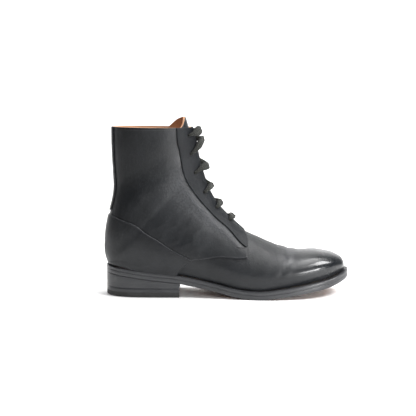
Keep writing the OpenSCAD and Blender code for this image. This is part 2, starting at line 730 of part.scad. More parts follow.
module heel_nails() {
    color("goldenrod") place() for (p = nail_places) {
        translate([p[0], p[1], nail_sink]) cylinder(r = nail_radius, h = nail_top - 2 * nail_sink, $fn = 20);
    }
}

outsole();
welt();
heel_wedge();
heel_lift_upper();
heel_lift_lower();
top_piece();
heel_nails();
insole();
sock_liner();
cork_filler();
shank();
vamp();
vamp_lining();
toe_puff();
quarter_lateral();
quarter_medial();
quarter_lining_lateral();
quarter_lining_medial();
heel_stiffener();
counter_cover();
back_strip();
facing_lateral();
facing_medial();
eyelets_lateral();
eyelets_medial();
tongue();
tongue_lining();
lace();
lace_end_lateral();
lace_end_medial();
aglets();
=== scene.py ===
import math

import bmesh
import bpy
import numpy as np
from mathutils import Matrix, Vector


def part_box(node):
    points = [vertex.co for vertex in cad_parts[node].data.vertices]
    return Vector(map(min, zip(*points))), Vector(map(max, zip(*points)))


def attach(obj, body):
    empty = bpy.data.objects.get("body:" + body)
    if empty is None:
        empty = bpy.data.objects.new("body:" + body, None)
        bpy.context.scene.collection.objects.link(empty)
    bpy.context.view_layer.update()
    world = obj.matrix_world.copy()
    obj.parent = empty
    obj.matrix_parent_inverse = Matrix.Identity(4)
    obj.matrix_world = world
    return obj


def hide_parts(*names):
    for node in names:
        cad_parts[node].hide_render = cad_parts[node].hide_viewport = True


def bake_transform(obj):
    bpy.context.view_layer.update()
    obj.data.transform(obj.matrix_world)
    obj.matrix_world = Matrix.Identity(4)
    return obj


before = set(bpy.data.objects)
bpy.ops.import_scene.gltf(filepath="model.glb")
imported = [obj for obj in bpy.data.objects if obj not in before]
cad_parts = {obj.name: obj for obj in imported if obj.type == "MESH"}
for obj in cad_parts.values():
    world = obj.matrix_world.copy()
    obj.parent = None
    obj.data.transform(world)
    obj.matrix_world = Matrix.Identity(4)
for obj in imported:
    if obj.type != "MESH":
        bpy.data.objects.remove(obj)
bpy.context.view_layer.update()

MM = 0.001
BOOT = "boot"
SOLE_BACK = 3.0
ORIGIN = np.array([SOLE_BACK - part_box("outsole")[0][0] / MM, 0.0, 0.0])


def to_frame(points):
    """Design millimetres, counted from the heel back, to the frame's metres."""
    return (np.asarray(points, float) - ORIGIN) * MM


# ---------------------------------------------------------------- camera, floor and light

CAMERA_DISTANCE = 1.2
CAMERA_HEIGHT = 0.25
CAMERA_PITCH = math.radians(6.87)
CAMERA_LENS = 84.7
CAMERA_SENSOR = 36
CAMERA_CLIP = 50
CAMERA_AIM_X = 128.6


def make_camera():
    data = bpy.data.cameras.new("camera")
    data.lens = CAMERA_LENS
    data.sensor_width = CAMERA_SENSOR
    data.clip_end = CAMERA_CLIP
    camera = bpy.data.objects.new("camera", data)
    bpy.context.collection.objects.link(camera)
    camera.location = (to_frame([CAMERA_AIM_X, 0, 0])[0], -CAMERA_DISTANCE, CAMERA_HEIGHT)
    camera.rotation_euler = (math.pi / 2 - CAMERA_PITCH, 0, 0)
    bpy.context.scene.camera = camera


def new_mesh(name, verts, faces, smooth=True):
    mesh = bpy.data.meshes.new(name)
    mesh.from_pydata([tuple(v) for v in verts], [], [tuple(f) for f in faces])
    mesh.validate()
    mesh.update()
    if smooth:
        mesh.shade_smooth()
    obj = bpy.data.objects.new(name, mesh)
    bpy.context.collection.objects.link(obj)
    return obj


STAGE_WHITE = (0.93, 0.93, 0.93, 1)


def make_stage():
    """A pale floor that curves up into a wall behind the boot."""
    width, front, back, bend, top, steps = 8.0, -10.0, 1.6, 0.8, 3.0, 12
    profile = [(front, 0.0), (back - bend, 0.0)]
    for k in range(1, steps + 1):
        a = math.pi / 2 * k / steps
        profile.append((back - bend + bend * math.sin(a), bend - bend * math.cos(a)))
    profile.append((back, top))
    verts = [(x, y, z) for y, z in profile for x in (-width, width)]
    faces = [(2 * i, 2 * i + 1, 2 * i + 3, 2 * i + 2) for i in range(len(profile) - 1)]
    floor = new_mesh("stage", verts, faces)
    white = new_material("stage_white", roughness=0.75, specular=0.2, Base_Color=STAGE_WHITE)[0]
    floor.data.materials.append(white)


# name, place, aim, width, height and power of each light
LIGHTS = [
    ("top_softbox", (0.2, 0.2, 1.7), (0.05, 0.0, 0.1), 1.4, 0.9, 36),
    ("backdrop_softbox", (0.0, 0.55, 1.9), (0.0, 1.6, 0.7), 2.6, 0.4, 26),
    ("front_softbox", (0.2, -1.3, 0.95), (0.08, 0.0, 0.05), 0.45, 0.4, 3),
    ("instep_softbox", (0.8, -0.3, 0.9), (0.05, 0.0, 0.1), 0.5, 0.45, 16),
    ("toe_strip", (0.83, -0.82, 0.15), (0.13, 0.0, 0.05), 0.42, 0.1, 9)]
WORLD_STRENGTH = 0.11


def area_light(name, location, aim, width, height, power):
    data = bpy.data.lights.new(name, "AREA")
    data.energy = power
    data.shape = "RECTANGLE"
    data.size = width
    data.size_y = height
    light = bpy.data.objects.new(name, data)
    bpy.context.collection.objects.link(light)
    light.location = location
    light.rotation_euler = (Vector(aim) - Vector(location)).to_track_quat("-Z", "Y").to_euler()


def make_lights():
    for light in LIGHTS:
        area_light(*light)
    world = bpy.data.worlds.new("studio")
    world.use_nodes = True
    background = world.node_tree.nodes["Background"]
    background.inputs["Color"].default_value = (1, 1, 1, 1)
    background.inputs["Strength"].default_value = WORLD_STRENGTH
    bpy.context.scene.world = world
    bpy.context.scene.view_settings.view_transform = "Standard"


# ---------------------------------------------------------------- design surface of the upper

# the bed that the upper stands on: shares of the heel height and of the toe spring
HEEL_RISE = [(-40, 1.05), (3, 1.02), (26, 0.93), (59, 0.76), (93, 0.63), (116, 0.46), (139, 0.28),
             (163, 0.07), (185, 0), (400, 0)]
TOE_RISE = [(-40, 0), (195, 0), (216, 0.12), (234, 0.24), (253, 0.38), (274, 0.55), (290, 0.76),
            (303, 1), (340, 1.6)]
OUTSOLE = 5.5
WELT = 4.5
HEEL_HEIGHT = 27.0
TOE_SPRING = 21.0
BED_X = np.arange(-39.0, 339.0, 1.0)


def smooth_bed():
    """The bed line with its corners rounded."""
    raw = (OUTSOLE + WELT + HEEL_HEIGHT * np.interp(BED_X, *zip(*HEEL_RISE))
           + TOE_SPRING * np.interp(BED_X, *zip(*TOE_RISE)))
    window = np.hanning(23)
    padded = np.concatenate([raw[0] + (np.arange(-11, 0) * (raw[1] - raw[0])), raw,
                             raw[-1] + (np.arange(1, 12) * (raw[-1] - raw[-2]))])
    return np.convolve(padded, window / window.sum(), "valid")


BED_Z = smooth_bed()


def bed(x):
    return np.interp(x, BED_X, BED_Z)


# sections from the toe tip to the top line and the tongue tip: back x and rise, front x and rise,
# lower half widths, greatest half widths (outer, inner side), their height share, girth share
# below them, roundness of the lower and of the upper part, sideways shift
STATIONS = np.array([
    [299.5, 0.3, 300.0, 2.5, 1.5, 1.5, 1.7, 1.7, 0.35, 0.35, 0.00, 2.00, 6.0],
    [296.5, 0.3, 298.0, 11.0, 12.0, 12.0, 12.5, 12.5, 0.35, 0.25, 0.00, 2.10, 6.0],
    [290.0, 0.3, 293.0, 19.0, 20.5, 19.5, 21.5, 20.5, 0.35, 0.22, 0.00, 2.20, 6.0],
    [278.0, 0.3, 281.0, 28.0, 31.0, 28.0, 33.0, 30.0, 0.35, 0.22, 0.00, 2.30, 6.0],
    [261.0, 0.3, 262.0, 35.0, 39.5, 35.5, 42.0, 38.0, 0.33, 0.22, 0.00, 2.30, 5.5],
    [239.0, 0.3, 239.0, 38.0, 47.0, 41.0, 49.5, 44.0, 0.33, 0.22, 0.00, 2.20, 5.0],
    [214.0, 0.3, 215.0, 47.5, 51.0, 42.5, 53.5, 46.0, 0.30, 0.22, 0.00, 2.00, 4.5],
    [190.0, 0.3, 193.0, 59.5, 51.0, 38.5, 53.5, 44.0, 0.28, 0.22, 0.00, 1.80, 4.0],
    [165.0, 0.3, 172.0, 68.5, 46.5, 31.0, 50.0, 39.0, 0.27, 0.22, 0.00, 1.70, 3.0],
    [139.0, 0.3, 155.0, 80.0, 40.0, 26.0, 44.5, 36.0, 0.27, 0.23, 0.00, 1.70, 2.0],
    [113.0, 0.3, 143.0, 90.0, 35.0, 25.0, 41.0, 36.0, 0.27, 0.25, 0.00, 1.70, 1.0],
    [88.0, 0.4, 134.5, 101.0, 32.5, 27.5, 39.5, 36.0, 0.28, 0.27, 0.00, 1.75, 0.0],
    [62.0, 0.6, 128.5, 113.0, 31.5, 30.0, 38.0, 36.0, 0.28, 0.29, 0.15, 1.80, 0.0],
    [37.0, 1.2, 124.5, 125.5, 29.5, 28.5, 36.5, 35.5, 0.29, 0.31, 0.35, 1.85, 0.0],
    [18.0, 2.2, 122.0, 136.0, 21.0, 21.0, 35.0, 34.5, 0.31, 0.34, 0.60, 1.90, 0.0],
    [9.0, 2.6, 120.5, 143.0, 10.5, 10.5, 34.0, 34.0, 0.33, 0.37, 0.85, 1.95, 0.0],
    [6.5, 3.0, 119.5, 148.5, 0.0, 0.0, 33.5, 33.5, 0.36, 0.40, 1.00, 2.00, 0.0],
    [2.5, 19.0, 118.5, 153.0, 0.0, 0.0, 33.0, 33.0, 0.38, 0.42, 1.00, 2.00, 0.0],
    [3.0, 38.5, 117.8, 157.5, 0.0, 0.0, 32.0, 32.0, 0.40, 0.44, 1.00, 2.00, 0.0],
    [7.0, 58.0, 117.0, 161.5, 0.0, 0.0, 31.0, 31.0, 0.43, 0.46, 1.00, 2.00, 0.0],
    [12.0, 75.5, 116.2, 165.0, 0.0, 0.0, 30.5, 30.5, 0.45, 0.48, 1.00, 2.00, 0.0],
    [15.0, 94.5, 115.2, 169.0, 0.0, 0.0, 30.5, 30.5, 0.47, 0.49, 1.00, 2.00, 0.0],
    [14.5, 114.5, 114.0, 172.5, 0.0, 0.0, 31.5, 31.5, 0.48, 0.50, 1.00, 2.00, 0.0],
    [13.5, 134.5, 112.8, 176.0, 0.0, 0.0, 32.5, 32.5, 0.49, 0.50, 1.00, 2.00, 0.0],
    [13.0, 152.5, 111.8, 178.5, 0.0, 0.0, 33.5, 33.5, 0.50, 0.50, 1.00, 2.00, 0.0],
    [13.0, 169.5, 111.0, 181.5, 0.0, 0.0, 34.5, 34.5, 0.50, 0.50, 1.00, 2.00, 0.0],
    [13.0, 180.0, 108.5, 190.5, 0.0, 0.0, 34.5, 34.5, 0.50, 0.50, 1.00, 2.00, 0.0],
    [13.0, 190.0, 105.0, 199.5, 0.0, 0.0, 34.5, 34.5, 0.50, 0.50, 1.00, 2.00, 0.0],
])
TOP_T = 25.0
LAST_T = len(STATIONS) - 1.0


def smoothstep(x, a, b):
    f = np.clip((x - a) / (b - a), 0, 1)
    return f * f * (3 - 2 * f)


def between(x, a, b, c, d):
    """1 from b to c, and down to 0 at a and at d."""
    return smoothstep(x, a, b) * (1 - smoothstep(x, c, d))


def spline(table, x):
    """Catmull-Rom through the table's rows, at x counted in rows."""
    table = np.asarray(table, float)
    x = np.clip(np.asarray(x, float), 0, len(table) - 1)
    i = np.minimum(x.astype(int), len(table) - 2)
    f = (x - i)[..., None]
    padded = np.concatenate([2 * table[:1] - table[1:2], table, 2 * table[-1:] - table[-2:-1]])
    a, b, c, d = (padded[i + k] for k in range(4))
    return 0.5 * (2 * b + (c - a) * f + (2 * a - 5 * b + 4 * c - d) * f ** 2
                  + (3 * b - a - 3 * c + d) * f ** 3)


def section_point(t, u):
    """The point at place t along the boot and girth u, from the outer lower edge over the top."""
    t, u = np.broadcast_arrays(np.asarray(t, float), np.asarray(u, float))
    r = spline(STATIONS, t)
    outer_side = u <= 0.5
    s = np.where(outer_side, 2 * u, 2 * (1 - u))
    low = np.maximum(0, np.where(outer_side, r[..., 4], r[..., 5]))
    wide = np.where(outer_side, r[..., 6], r[..., 7])
    high, split, round_low, round_top = r[..., 8], r[..., 9], r[..., 10], r[..., 11]
    q = np.clip(s / split, 0, 1)
    a = np.pi / 2 * (1 - q)
    v_low = high * ((1 - round_low) * q + round_low * (1 - np.sin(a)))
    y_low = low + (wide - low) * ((1 - round_low) * (1 - (1 - q) ** 2) + round_low * np.cos(a))
    b = np.pi / 2 * np.clip((s - split) / (1 - split), 0, 1)
    v_top = high + (1 - high) * np.sin(b) ** (2 / round_top)
    y_top = wide * np.maximum(0, np.cos(b)) ** (2 / round_top)
    v = np.where(s < split, v_low, v_top)
    y = np.where(s < split, y_low, y_top)
    zb = bed(r[..., 0]) + r[..., 1]
    zf = bed(r[..., 2]) + r[..., 3]
    return np.stack([r[..., 0] + (r[..., 2] - r[..., 0]) * v,
                     r[..., 12] + np.where(outer_side, -y, y), zb + (zf - zb) * v], -1)


HEEL_REACH = np.linspace(-1.6, 1.6, 9)
HEEL_SHARE = np.exp(-0.5 * (HEEL_REACH / 0.75) ** 2)
HEEL_SHARE = HEEL_SHARE / HEEL_SHARE.sum()


def surface(t, u):
    """The design surface, with the turn round the heel's lower back corner made soft."""
    t, u = np.broadcast_arrays(np.asarray(t, float), np.asarray(u, float))
    side = np.minimum(u, 1 - u)
    soft = between(t, 11.0, 13.5, 18.5, 21.5) * smoothstep(side, 0.0, 0.06)
    soft = np.maximum(soft, between(t, 16.2, 17.6, 18.5, 21.5))
    if not soft.any():
        return section_point(t, u)
    total = 0
    for reach, share in zip(HEEL_REACH, HEEL_SHARE):
        total = total + share * section_point(np.clip(t + reach * soft, 0, LAST_T), u)
    return total


def unit(v):
    return v / np.maximum(np.linalg.norm(v, axis=-1, keepdims=True), 1e-9)


def outward(t, u):
    step_t, step_u = 0.03, 0.004
    run = surface(np.minimum(t + step_t, LAST_T), u) - surface(np.maximum(t - step_t, 0), u)
    t, u = np.broadcast_arrays(t, u)
    over, under = u + step_u, u - step_u
    over = np.where(over > 1, np.where(t >= 16, over - 1, 1), over)
    under = np.where(under < 0, np.where(t >= 16, under + 1, 0), under)
    girth = surface(t, over) - surface(t, under)
    return unit(np.cross(girth, run))


# leather layers, as offsets from the design surface
GAP = 0.35
LEATHER = 1.8
LINING = 1.2
OVERLAY = 1.4
BOARD = 1.2
VAMP_OUT = -1.0
LINING_OUT = VAMP_OUT + GAP
QUARTER_OUT = LINING_OUT + LEATHER
OVERLAY_IN = QUARTER_OUT + GAP
OVERLAY_OUT = OVERLAY_IN + OVERLAY
HOLE_RADIUS = 2.2
PEG_SIDES = 28
PEG_REACH = 9.0
EYES = [(22.9, 0.404), (18.7, 0.398), (14.6, 0.396), (12.1, 0.398), (10.4, 0.41), (9.05, 0.415)]
BARREL_RADIUS = 2.9
TONGUE_OUT = LINING_OUT - GAP - LINING - 0.45 - 0.4 - 2.7


# ---------------------------------------------------------------- creases and hand of the leather

# flex creases over the vamp: girth places and their places along the boot, the ridge over the
# instep the same way, then each crease's shift, depth and half width
FLEX_U = [0.0, 0.10, 0.168, 0.267, 0.405, 0.5, 0.6, 0.73, 0.84, 1.0]
FLEX_T = [6.1, 5.98, 5.84, 5.56, 5.40, 5.34, 5.42, 5.6, 5.85, 6.1]
RIDGE_T = [7.8, 8.2, 8.7, 9.3, 11, 16]
RIDGE_U = [0.27, 0.285, 0.31, 0.325, 0.332, 0.325]
FLEX_CREASES = [(0.0, 0.75, 0.13), (0.62, 0.28, 0.2), (-0.5, 0.16, 0.16), (1.25, 0.2, 0.25)]
RIDGE_HEIGHT = 1.3
RIDGE_WIDTH = 0.02


def bell(x):
    return np.exp(-x ** 2)


def relief(t, u):
    """Height in mm of creases, wrinkles and soft waves, which all layers of the upper share."""
    side = np.minimum(u, 1 - u)
    window = smoothstep(side, 0.07, 0.2)
    total = 0.0
    for shift, depth, width in FLEX_CREASES:
        near = (t - np.interp(u, FLEX_U, FLEX_T) - shift) / width
        swell = 0.45 * bell((near - 2.2) / 1.6) + 0.3 * bell((near + 2.2) / 1.6)
        total = total - depth * window * (bell(near) - swell)
    ankle = between(t, 9.0, 10.2, 12.6, 14.5) * between(side, 0.12, 0.19, 0.28, 0.34)
    total = total + ankle * (0.15 * np.sin(7.5 * t + 30 * side + 1.2 * np.sin(9 * side * t))
                             + 0.09 * np.sin(13.1 * t - 52 * side + 0.7))
    shaft = smoothstep(t, 11.0, 15.0) * between(side, 0.03, 0.09, 0.31, 0.36)
    total = total + shaft * (0.15 * np.sin(0.95 * t + 21 * u + 0.4) * np.sin(0.42 * t - 13 * u + 1.1)
                             + 0.06 * np.sin(2.1 * t - 31 * u))
    slack = between(t, 13.0, 15.5, 18.5, 21.0) * between(side, 0.05, 0.14, 0.27, 0.34)
    total = total + slack * 0.13 * np.sin(2.6 * t + 17 * side + 2.0 * (u > 0.5))
    ridge = bell((side - np.interp(t, RIDGE_T, RIDGE_U)) / RIDGE_WIDTH)
    total = total + RIDGE_HEIGHT * ridge * between(t, 7.7, 8.8, 12.5, 16)
    vamp = between(t, 5.9, 6.8, 7.0, 8.5) * window
    return total + vamp * 0.09 * np.sin(4.4 * t + 24 * u)


def lifted(t, u, d):
    t, u = np.asarray(t, float), np.asarray(u, float)
    d = np.asarray(d, float) + relief(t, u)
    return surface(t, u) + outward(t, u) * d[..., None]


def along(points, f):
    return spline(points, np.asarray(f, float) * (len(points) - 1))


def mixed(a, b, f):
    return a + (b - a) * f


def patch(low, high, start, end, s, r):
    """Places between four edge curves, at the shares s from low to high and r from start to end."""
    low, high, start, end = (np.array(c, float) for c in (low, high, start, end))
    s3, r3 = s[:, None, None], r[None, :, None]
    corners = mixed(mixed(low[0], low[-1], r3), mixed(high[0], high[-1], r3), s3)
    return (mixed(along(low, r[None, :]), along(high, r[None, :]), s3)
            + mixed(along(start, s[:, None]), along(end, s[:, None]), r3) - corners)


def shifted(path, distance):
    """Places beside a path on the surface, at a distance in mm to the left of its direction."""
    t, u = path[:, 0], path[:, 1]
    here, n = surface(t, u), outward(t, u)
    side = unit(np.cross(n, np.gradient(here, axis=0))) * distance
    s_t = (surface(t + 0.05, u) - surface(t - 0.05, u)) / 0.1
    s_u = (surface(t, u + 0.004) - surface(t, u - 0.004)) / 0.008
    e, f, g = ((a * b).sum(-1) for a, b in ((s_t, s_t), (s_t, s_u), (s_u, s_u)))
    a, b = (s_t * side).sum(-1), (s_u * side).sum(-1)
    det = np.maximum(e * g - f * f, 1e-6)
    return path + np.stack([(g * a - f * b) / det, (e * b - f * a) / det], -1)


# seams on the outer side, as [t, u] places
FRONT_EDGE = [[7.7, 0.238], [7.72, 0.30], [7.76, 0.36], [7.9, 0.41], [8.25, 0.44], [9.3, 0.455],
              [11, 0.452], [13.5, 0.448], [16.5, 0.445], [19.5, 0.445], [22.5, 0.445], [25, 0.442]]
QUARTER_LOW = [[18.2, 0.0], [17.9, 0.06], [16.8, 0.12], [15.0, 0.152], [13.0, 0.137], [11.8, 0.11],
               [10.9, 0.095], [10.3, 0.124], [9.3, 0.174], [8.6, 0.2], [7.7, 0.238]]
BACK_EDGE = [[18.2, 0.0], [20, 0.0], [22, 0.0], [25, 0.0]]
TOP_EDGE = [[25, 0.0], [25, 0.11], [25, 0.22], [25, 0.33], [25, 0.442]]
BAR_TACK = [[8.34, 0.272], [8.1, 0.282], [7.86, 0.291]]
COVER_SEAM = [[19.2, 0.0], [18.95, 0.075], [17.6, 0.155], [15.9, 0.192], [13.3, 0.174], [12.1, 0.155],
              [11.3, 0.133], [10.58, 0.113]]
COVER_LEG = [[10.9, 0.0], [10.85, 0.045], [10.7, 0.085], [10.58, 0.113]]
COVER_FOOT = [[16, 0.0], [14.7, 0.0], [13.4, 0.0], [12.1, 0.0], [10.9, 0.0]]
COVER_BACK = [[16, 0.0], [17, 0.0], [18, 0.0], [19.2, 0.0]]
FACING_SEAM = [[7.82, 0.30], [8.2, 0.314], [8.7, 0.338], [9.3, 0.352], [11, 0.357], [13.3, 0.352],
               [16, 0.354], [18.6, 0.354], [21.8, 0.346], [25, 0.346]]
FACING_FRONT = [[7.72, 0.31], [7.78, 0.37], [8.0, 0.42], [8.6, 0.448], [10, 0.454], [12, 0.45],
                [15, 0.446], [18.5, 0.445], [21.8, 0.445], [25, 0.442]]
STIFF_SEAM = [[17.9, 0.0], [17.6, 0.055], [16.5, 0.11], [15.0, 0.135], [13.3, 0.122], [12.1, 0.095],
              [11.6, 0.075]]
STIFF_FRONT = [[11.6, 0.0], [11.6, 0.04], [11.6, 0.075]]
STIFF_FOOT = [[16, 0.0], [14.5, 0.0], [13, 0.0], [11.6, 0.0]]
STIFF_BACK = [[16, 0.0], [17, 0.0], [17.9, 0.0]]


def inner_side(places):
    """The same places on the inner side."""
    places = np.array(places, float)
    places[..., 1] = 1 - places[..., 1]
    return places


def both_sides(rows):
    """Both halves of a heel piece, joined over the heel back."""
    return np.concatenate([rows[:, ::-1], inner_side(rows[:, 1:])], axis=1)


# ---------------------------------------------------------------- closed leather shells

ROUND = 0.5
SHELL_SHARP = math.radians(52)
GROOVE_DEPTH = 0.24
GROOVE_WIDTH = 0.75


def shares(length, cell=1.7, low_edge=True, high_edge=True):
    """Shares from 0 to 1 about a cell apart, and closer at edges that are rounded."""
    near = np.array([0.0, 0.12, 0.35, 0.8]) / length
    clear = 1.2 / length
    even = np.linspace(0, 1, max(5, int(length / cell)))
    even = even[(even > (clear if low_edge else -1)) & (even < (1 - clear if high_edge else 2))]
    return np.concatenate([near if low_edge else [], even, 1 - near[::-1] if high_edge else []])


def edge_drop(s, length, low_edge=True, high_edge=True):
    """How far the surface falls away near the panel's rounded edges, in mm."""
    d = np.full(s.shape, ROUND)
    if low_edge:
        d = np.minimum(d, s * length)
    if high_edge:
        d = np.minimum(d, (1 - s) * length)
    return ROUND - np.sqrt(np.maximum(0, ROUND ** 2 - (ROUND - d) ** 2))


def rounded(s, length, r, width, s_edges=(True, True), r_edges=(True, True)):
    """The fall near the edges of a panel over its whole grid."""
    return np.maximum(edge_drop(s, length, *s_edges)[:, None], edge_drop(r, width, *r_edges)[None, :])


def grid_faces(n, m):
    i, j = np.meshgrid(np.arange(n - 1), np.arange(m - 1), indexing="ij")
    a = (i * m + j).ravel()
    return np.stack([a, a + 1, a + m + 1, a + m], -1)


def border(n, m):
    """The grid's outline, once round."""
    low = [j for j in range(m)]
    right = [i * m + m - 1 for i in range(1, n)]
    top = [(n - 1) * m + j for j in range(m - 2, -1, -1)]
    left = [i * m for i in range(n - 2, 0, -1)]
    return low + right + top + left


def shell(name, places, outer, inner, drop=0.0, grooves=(), face_mats=None):
    """A closed leather shell over a grid of [t, u] places, between two offsets from the design surface."""
    n, m = places.shape[:2]
    t, u = places[..., 0], places[..., 1]
    base, normal, wave = surface(t, u), outward(t, u), relief(t, u)
    top = base + normal * (np.broadcast_to(outer, t.shape) - drop + wave)[..., None]
    if len(grooves):
        top = top - normal * groove_depth(top, grooves)[..., None]
    low = base + normal * (inner + wave)[..., None]
    verts = np.concatenate([top.reshape(-1, 3), low.reshape(-1, 3)])
    faces = grid_faces(n, m)
    a, b, c = (verts[faces[:, k]] for k in (0, 1, 2))
    inward = (np.cross(b - a, c - a) * normal.reshape(-1, 3)[faces[:, 0]]).sum() < 0
    half, line = n * m, border(n, m)
    sides = [(q, p, half + p, half + q) for p, q in zip(line[-1:] + line[:-1], line)]
    all_faces = [tuple(f) for f in faces] + [tuple(f[::-1] + half) for f in faces] + sides
    if inward:
        all_faces = [f[::-1] for f in all_faces]
    obj = new_mesh(name, to_frame(verts), all_faces)
    obj.data.set_sharp_from_angle(angle=SHELL_SHARP)
    if face_mats is not None:
        index = np.zeros(len(all_faces), np.int32)
        count = len(faces)
        last_row = (n - 1) * m
        index[count:2 * count] = face_mats[0]
        index[2 * count:] = [face_mats[1] if min(side[:2]) >= last_row else 0 for side in sides]
        obj.data.polygons.foreach_set("material_index", index)
    return obj, t, u


def groove_depth(points, grooves):
    """How deep a seam's stitches pull the leather in at each point."""
    cloud = np.concatenate(grooves)
    flat = points.reshape(-1, 3)
    best = np.full(len(flat), 1e9)
    block = 2000
    for k in range(0, len(flat), block):
        part = flat[k:k + block]
        best[k:k + block] = (((part[:, None] - cloud[None]) ** 2).sum(-1)).min(1)
    return (GROOVE_DEPTH * np.exp(-best / GROOVE_WIDTH ** 2)).reshape(points.shape[:-1])


def mark(obj, polish, wear_and_highlight, grain):
    """Numbers on every point that the leather's material reads; the lower shell repeats the upper one."""
    count = len(obj.data.vertices)
    for name, values in (("polish", polish), ("wear_and_highlight", wear_and_highlight), ("grain", grain)):
        layer = obj.data.attributes.new(name, "FLOAT", "POINT")
        layer.data.foreach_set("value", np.resize(np.asarray(values, np.float32), count))


def dress(obj, node, mats):
    """The piece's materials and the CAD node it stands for."""
    for mat in mats:
        obj.data.materials.append(mat)
    if node:
        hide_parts(node)


def ride(obj, node, mats):
    dress(obj, node, mats)
    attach(obj, BOOT)


def circle(count):
    """Even places round a circle of radius 1."""
    return [(math.cos(2 * math.pi * k / count), math.sin(2 * math.pi * k / count)) for k in range(count)]


def walls(rings, sides, start=0):
    """Faces round a tube whose points lie in rings, one after another."""
    return [(start + i * sides + k, start + i * sides + (k + 1) % sides,
             start + (i + 1) * sides + (k + 1) % sides, start + (i + 1) * sides + k)
            for i in range(rings - 1) for k in range(sides)]


def caps(rings, sides, start=0):
    last = start + (rings - 1) * sides
    return [tuple(range(start + sides - 1, start - 1, -1)), tuple(range(last, last + sides))]


def pegs(name, ends):
    """Cutters for round holes, each between the two rings of points at its ends."""
    verts, faces = [], []
    for low, high in ends:
        start, sides = len(verts), len(low)
        verts += [*low, *high]
        faces += caps(2, sides, start) + walls(2, sides, start)
    return new_mesh(name, to_frame(verts), faces, smooth=False)


def lace_hole_pegs(radius, inner):
    """Cutters through the lace holes, square to the leather."""
    ends = []
    for t, u in EYES:
        u = 1 - u if inner else u
        centre, axis = surface(t, u), outward(t, u)
        side = unit(np.cross(axis, [0, 0, 1.0]))
        up = np.cross(axis, side)
        ends.append([[centre + axis * end + (side * c + up * d) * radius for c, d in circle(PEG_SIDES)]
                     for end in (-PEG_REACH, PEG_REACH)])
    return pegs("cutter", ends)


def cut(obj, cutter):
    """Takes the cutter's solids out of the piece, and removes the cutter."""
    mod = obj.modifiers.new("holes", "BOOLEAN")
    mod.operation = "DIFFERENCE"
    mod.solver = "EXACT"
    mod.object = cutter
    graph = bpy.context.evaluated_depsgraph_get()
    mesh = bpy.data.meshes.new_from_object(obj.evaluated_get(graph))
    obj.modifiers.clear()
    obj.data = mesh
    bpy.data.objects.remove(cutter)
    obj.data.set_sharp_from_angle(angle=SHELL_SHARP)


# ---------------------------------------------------------------- stitches

SEAM_POINTS = 400


def seam(path, offset, lift, inner=False, start=0.0, end=1.0):
    """Points and normals of a stitched line beside a seam."""
    f = np.linspace(start, end, SEAM_POINTS)
    places = shifted(along(np.array(path, float), f), offset)
    places[:, 1] = np.clip(places[:, 1], 0.001, 0.999)
    if inner:
        places = inner_side(places)
    return lifted(places[:, 0], places[:, 1], lift), outward(places[:, 0], places[:, 1])


STITCH_PITCH = 2.5
STITCH_LENGTH = 2.05
STITCH_RADIUS = 0.27
STITCH_SINK = 0.1
STITCH_SIDES = 6
# rings of one stitch: share of its length, share of its radius, rise of its middle
STITCH_RINGS = [(-0.5, 0.35, -0.42), (-0.4, 0.85, -0.08), (-0.2, 1.0, 0.1), (0.2, 1.0, 0.1),
                (0.4, 0.85, -0.08), (0.5, 0.35, -0.42)]


def distances(points):
    """The way along a line from its start to each of its points."""
    return np.concatenate([[0], np.cumsum(np.linalg.norm(np.diff(points, axis=0), axis=1))])


def at_distance(at, run, columns):
    return np.stack([np.interp(at, run, columns[:, k]) for k in range(columns.shape[1])], -1)


def stitches(name, lines, pitch=STITCH_PITCH, length=STITCH_LENGTH, radius=STITCH_RADIUS):
    """Threads laid along seams: a short rounded stitch at every pitch."""
    verts, faces = [], []
    rings = len(STITCH_RINGS)
    for points, normals in lines:
        run = distances(points)
        at = np.arange(pitch / 2, run[-1] - pitch / 4, pitch)
        centre = at_distance(at, run, points)
        normal = unit(at_distance(at, run, normals))
        tangent = unit(at_distance(at + 0.4, run, points) - at_distance(at - 0.4, run, points))
        side = unit(np.cross(normal, tangent))
        for c, n, d, w in zip(centre, normal, tangent, side):
            faces += walls(rings, STITCH_SIDES, len(verts)) + caps(rings, STITCH_SIDES, len(verts))
            for share, wide, high in STITCH_RINGS:
                rise = high * radius * 2 - STITCH_SINK
                verts += [c + d * (share * length) + w * (x * wide * radius)
                          + n * (y * wide * radius * 0.9 + rise) for x, y in circle(STITCH_SIDES)]
    return new_mesh(name, to_frame(verts), faces)


# ---------------------------------------------------------------- cords: the lace's free ends

LACE_WIDTH = 7.0
LACE_THICKNESS = 1.5
AGLET_LENGTH = 18.0
AGLET_RADIUS = 1.7
# route of the outer lace end inside the shaft, in design millimetres; the inner one mirrors it
END_ROUTE = [[99.2, -17.2, 202], [94, -21.3, 201.3], [87, -24.9, 199.6], [80, -26.9, 197], [74, -27.9, 193],
             [70, -28.1, 187], [68, -27.4, 178], [67.5, -26.6, 166], [67, -26.5, 152], [67, -26.6, 138],
             [67, -26.6, 124], [67, -26.6, 110], [67, -26.6, 96], [67, -26.6, 82], [67, -26.6, 70]]
SECTION = circle(20)


